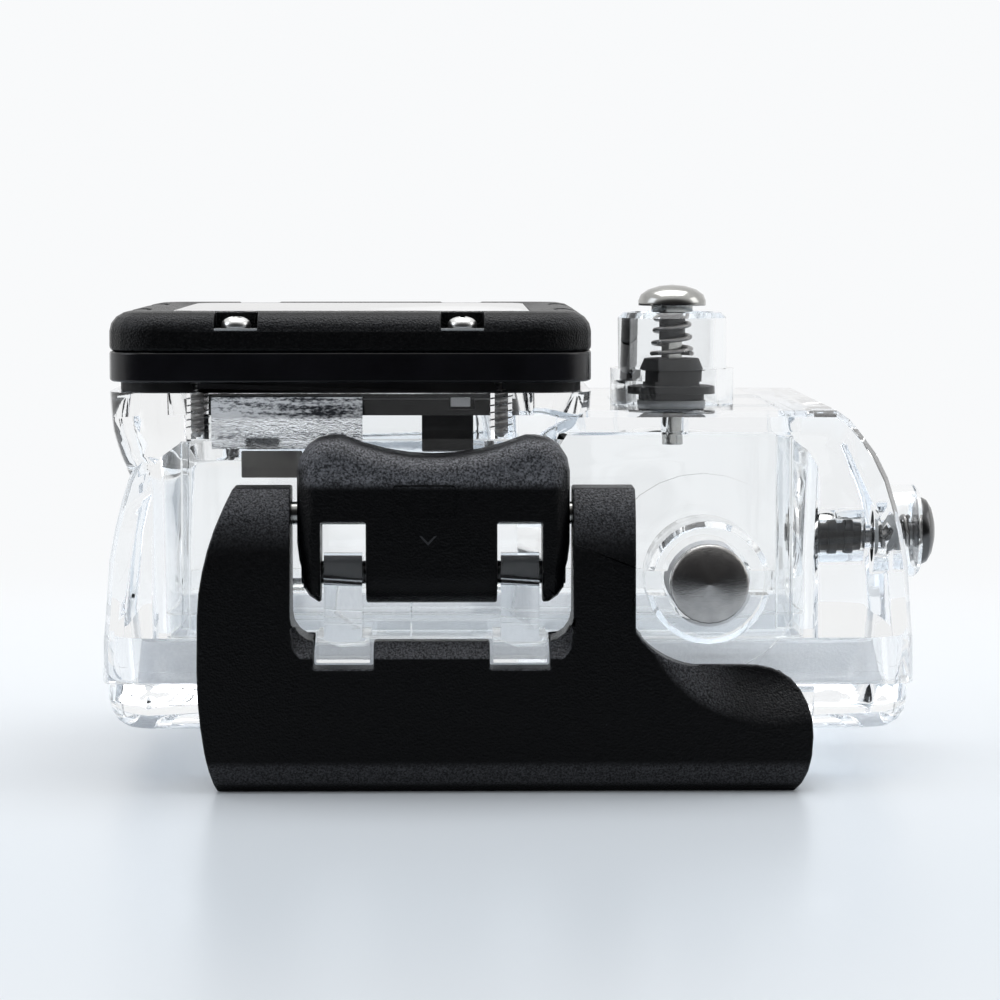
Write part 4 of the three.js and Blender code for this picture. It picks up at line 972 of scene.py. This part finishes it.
# Rows of the port block's front face: height and how far it stands out
PORT_FACE = [(29.4, -0.58), (29.9, -0.68), (30.8, -0.92), (31.95, -1.05), (33.0, -1.14), (33.95, -1.19)]
FROST = (-26.06, -12.85)
FROST_COLUMNS = 24
# How far the patch's two skins stand before and behind the face
FROST_SKINS = (0.04, -0.05)


def add_frost():
    """The frosted, spark-eroded patch on the port block's front face."""
    wide = FROST_COLUMNS + 1
    tall = len(PORT_FACE)
    points = []
    for skin in FROST_SKINS:
        for height, face in PORT_FACE:
            for i in range(wide):
                x = FROST[0] + (FROST[1] - FROST[0]) * i / FROST_COLUMNS
                points.append(at(x, face - skin, height))
    faces = []
    for sheet in range(2):
        for row in range(tall - 1):
            for i in range(FROST_COLUMNS):
                a = (sheet * tall + row) * wide + i
                faces.append([a, a + 1, a + 1 + wide, a + wide])
    rim = (list(range(wide)) + [row * wide + wide - 1 for row in range(1, tall)]
           + [(tall - 1) * wide + i for i in range(wide - 2, -1, -1)]
           + [row * wide for row in range(tall - 2, 0, -1)])
    back = tall * wide
    for i, a in enumerate(rim):
        b = rim[(i + 1) % len(rim)]
        faces.append([a, b, b + back, a + back])
    piece("port_frost", mesh_from("port_frost", points, faces), "housing", "clear_plastic", "frosted")


# Clear strips: name, outer and inner outline as two corners and a radius, and two heights.
# One is the ledge round the cavity, one the raised outline round the power button.
STRIPS = [
    ("cavity_ledge", (-31.77, 2.78, 27.77, 44.47, 3.6), (-31.25, 3.3, 27.25, 43.95, 3.1), 12.55, 14.5),
    ("face_line", (9.85, 10.1, 24.4, 29.3, 1.6), (10.15, 10.4, 24.1, 29.0, 1.3), 32.5, 32.72),
]


def add_strips():
    for name, outer, inner, low, high in STRIPS:
        strip = frame_strip(name, rounded(*outer), rounded(*inner), low, high)
        piece(name, from_drawing(strip), "housing", "clear_plastic")


def add_details():
    """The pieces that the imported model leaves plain, or leaves out."""
    add_pane()
    add_bezel_screws()
    add_frame_screws()
    add_spring("power", axis=2, sign=1, bottom_radius=1.85, top_radius=1.45)
    add_power_stem()
    for row in FACE_BLOCKS:
        block(*row)
    add_notch_highlights()
    add_spring("shutter", axis=1, sign=-1, bottom_radius=1.75, top_radius=1.4)
    add_spring("side", axis=0, sign=1, bottom_radius=1.45, top_radius=1.3)
    add_lever_marks()
    add_frost()
    for row in INNER_BLOCKS:
        block(*row)
    add_strips()


def past_plastic(tree, path):
    """1 for a ray that has passed through the clear plastic."""
    return tree.math("GREATER_THAN", path.outputs["Transmission Depth"], 0.5)


def floor_material():
    """A pale floor that fades into the backdrop, and doesn't show in black surfaces in front."""
    material, tree = new_material("floor")
    place = tree.add("ShaderNodeNewGeometry").outputs["Position"]
    path = tree.add("ShaderNodeLightPath")
    depth = tree.axes(place)["Y"]
    colour = tree.ramp(tree.remap(depth, FLOOR_TURN), (0.0, FLOOR_BLUE), (1.0, FLOOR_PALE))
    lit = tree.principled({"Base Color": colour, "Roughness": FLOOR_ROUGHNESS, "IOR": FLOOR_IOR})
    # The sweep behind and round the object fades into the backdrop
    mirrored_or_through = tree.math("MAXIMUM", path.outputs["Is Glossy Ray"],
                                    path.outputs["Is Transmission Ray"])
    seen = tree.math("MAXIMUM", path.outputs["Is Camera Ray"], mirrored_or_through)
    sweep = tree.out("ShaderNodeEmission", {"Color": BACKDROP})
    shown = tree.mix(tree.math("MULTIPLY", tree.rise(tree.length(place), SWEEP), seen), lit, sweep)
    # A black surface that faces the room in front reflects the dark room, not the floor
    mirrored = tree.math("MULTIPLY", path.outputs["Is Glossy Ray"],
                         tree.math("SUBTRACT", 1.0, past_plastic(tree, path)))
    room = tree.out("ShaderNodeEmission", {"Color": ROOM})
    tree.finish(tree.mix(tree.math("MULTIPLY", tree.rise(depth, ROOM_DEPTHS), mirrored), shown, room))
    return material


def add_floor():
    mesh = bpy.data.meshes.new("floor")
    side = FLOOR_HALF
    mesh.from_pydata([(-side, -side, 0), (side, -side, 0), (side, side, 0), (-side, side, 0)], [],
                     [(0, 1, 2, 3)])
    mesh.materials.append(floor_material())
    floor = add_to_scene(bpy.data.objects.new("floor", mesh))


def add_world():
    """A studio that is bright behind and overhead and dark in front, as each kind of ray sees it."""
    world = bpy.data.worlds.new("world")
    world.use_nodes = True
    bpy.context.scene.world = world
    tree = Nodes(world.node_tree)

    def sky(colour, strength=1.0):
        return tree.out("ShaderNodeBackground", {"Color": colour, "Strength": strength})

    direction = tree.axes(tree.add("ShaderNodeTexCoord").outputs["Generated"])
    front = tree.math("ADD", direction["Y"], tree.math("MULTIPLY", direction["Z"], OVERHEAD_SHARE))
    share = tree.remap(front, STUDIO_SPAN)
    path = tree.add("ShaderNodeLightPath")
    mirrored = tree.mix(path.outputs["Is Glossy Ray"], sky(tree.ramp(share, *FILL_STOPS), LIGHT_LEVEL),
                        sky(tree.ramp(share, *STUDIO_STOPS)))
    inside = tree.math("MULTIPLY", past_plastic(tree, path),
                       tree.math("SUBTRACT", 1.0, path.outputs["Is Diffuse Ray"]))
    through = tree.mix(inside, mirrored, sky(tree.ramp(share, *GLIMPSE_STOPS)))
    tree.add("ShaderNodeOutputWorld", {
        "Surface": tree.mix(path.outputs["Is Camera Ray"], through, sky(BACKDROP)),
    })


def add_lamps():
    for name, place, size, power, colour in LAMPS:
        data = bpy.data.lights.new(name, "AREA")
        data.shape = "RECTANGLE"
        data.size, data.size_y = size
        data.energy = power
        data.color = colour
        lamp = add_to_scene(bpy.data.objects.new(name, data))
        lamp.location = place
        aim = Vector(LAMP_TARGET) - Vector(place)
        lamp.rotation_euler = aim.to_track_quat("-Z", "Y").to_euler()


bpy.context.scene.view_settings.view_transform = "Standard"
add_camera()
dress_nodes()
add_details()
add_floor()
add_world()
add_lamps()
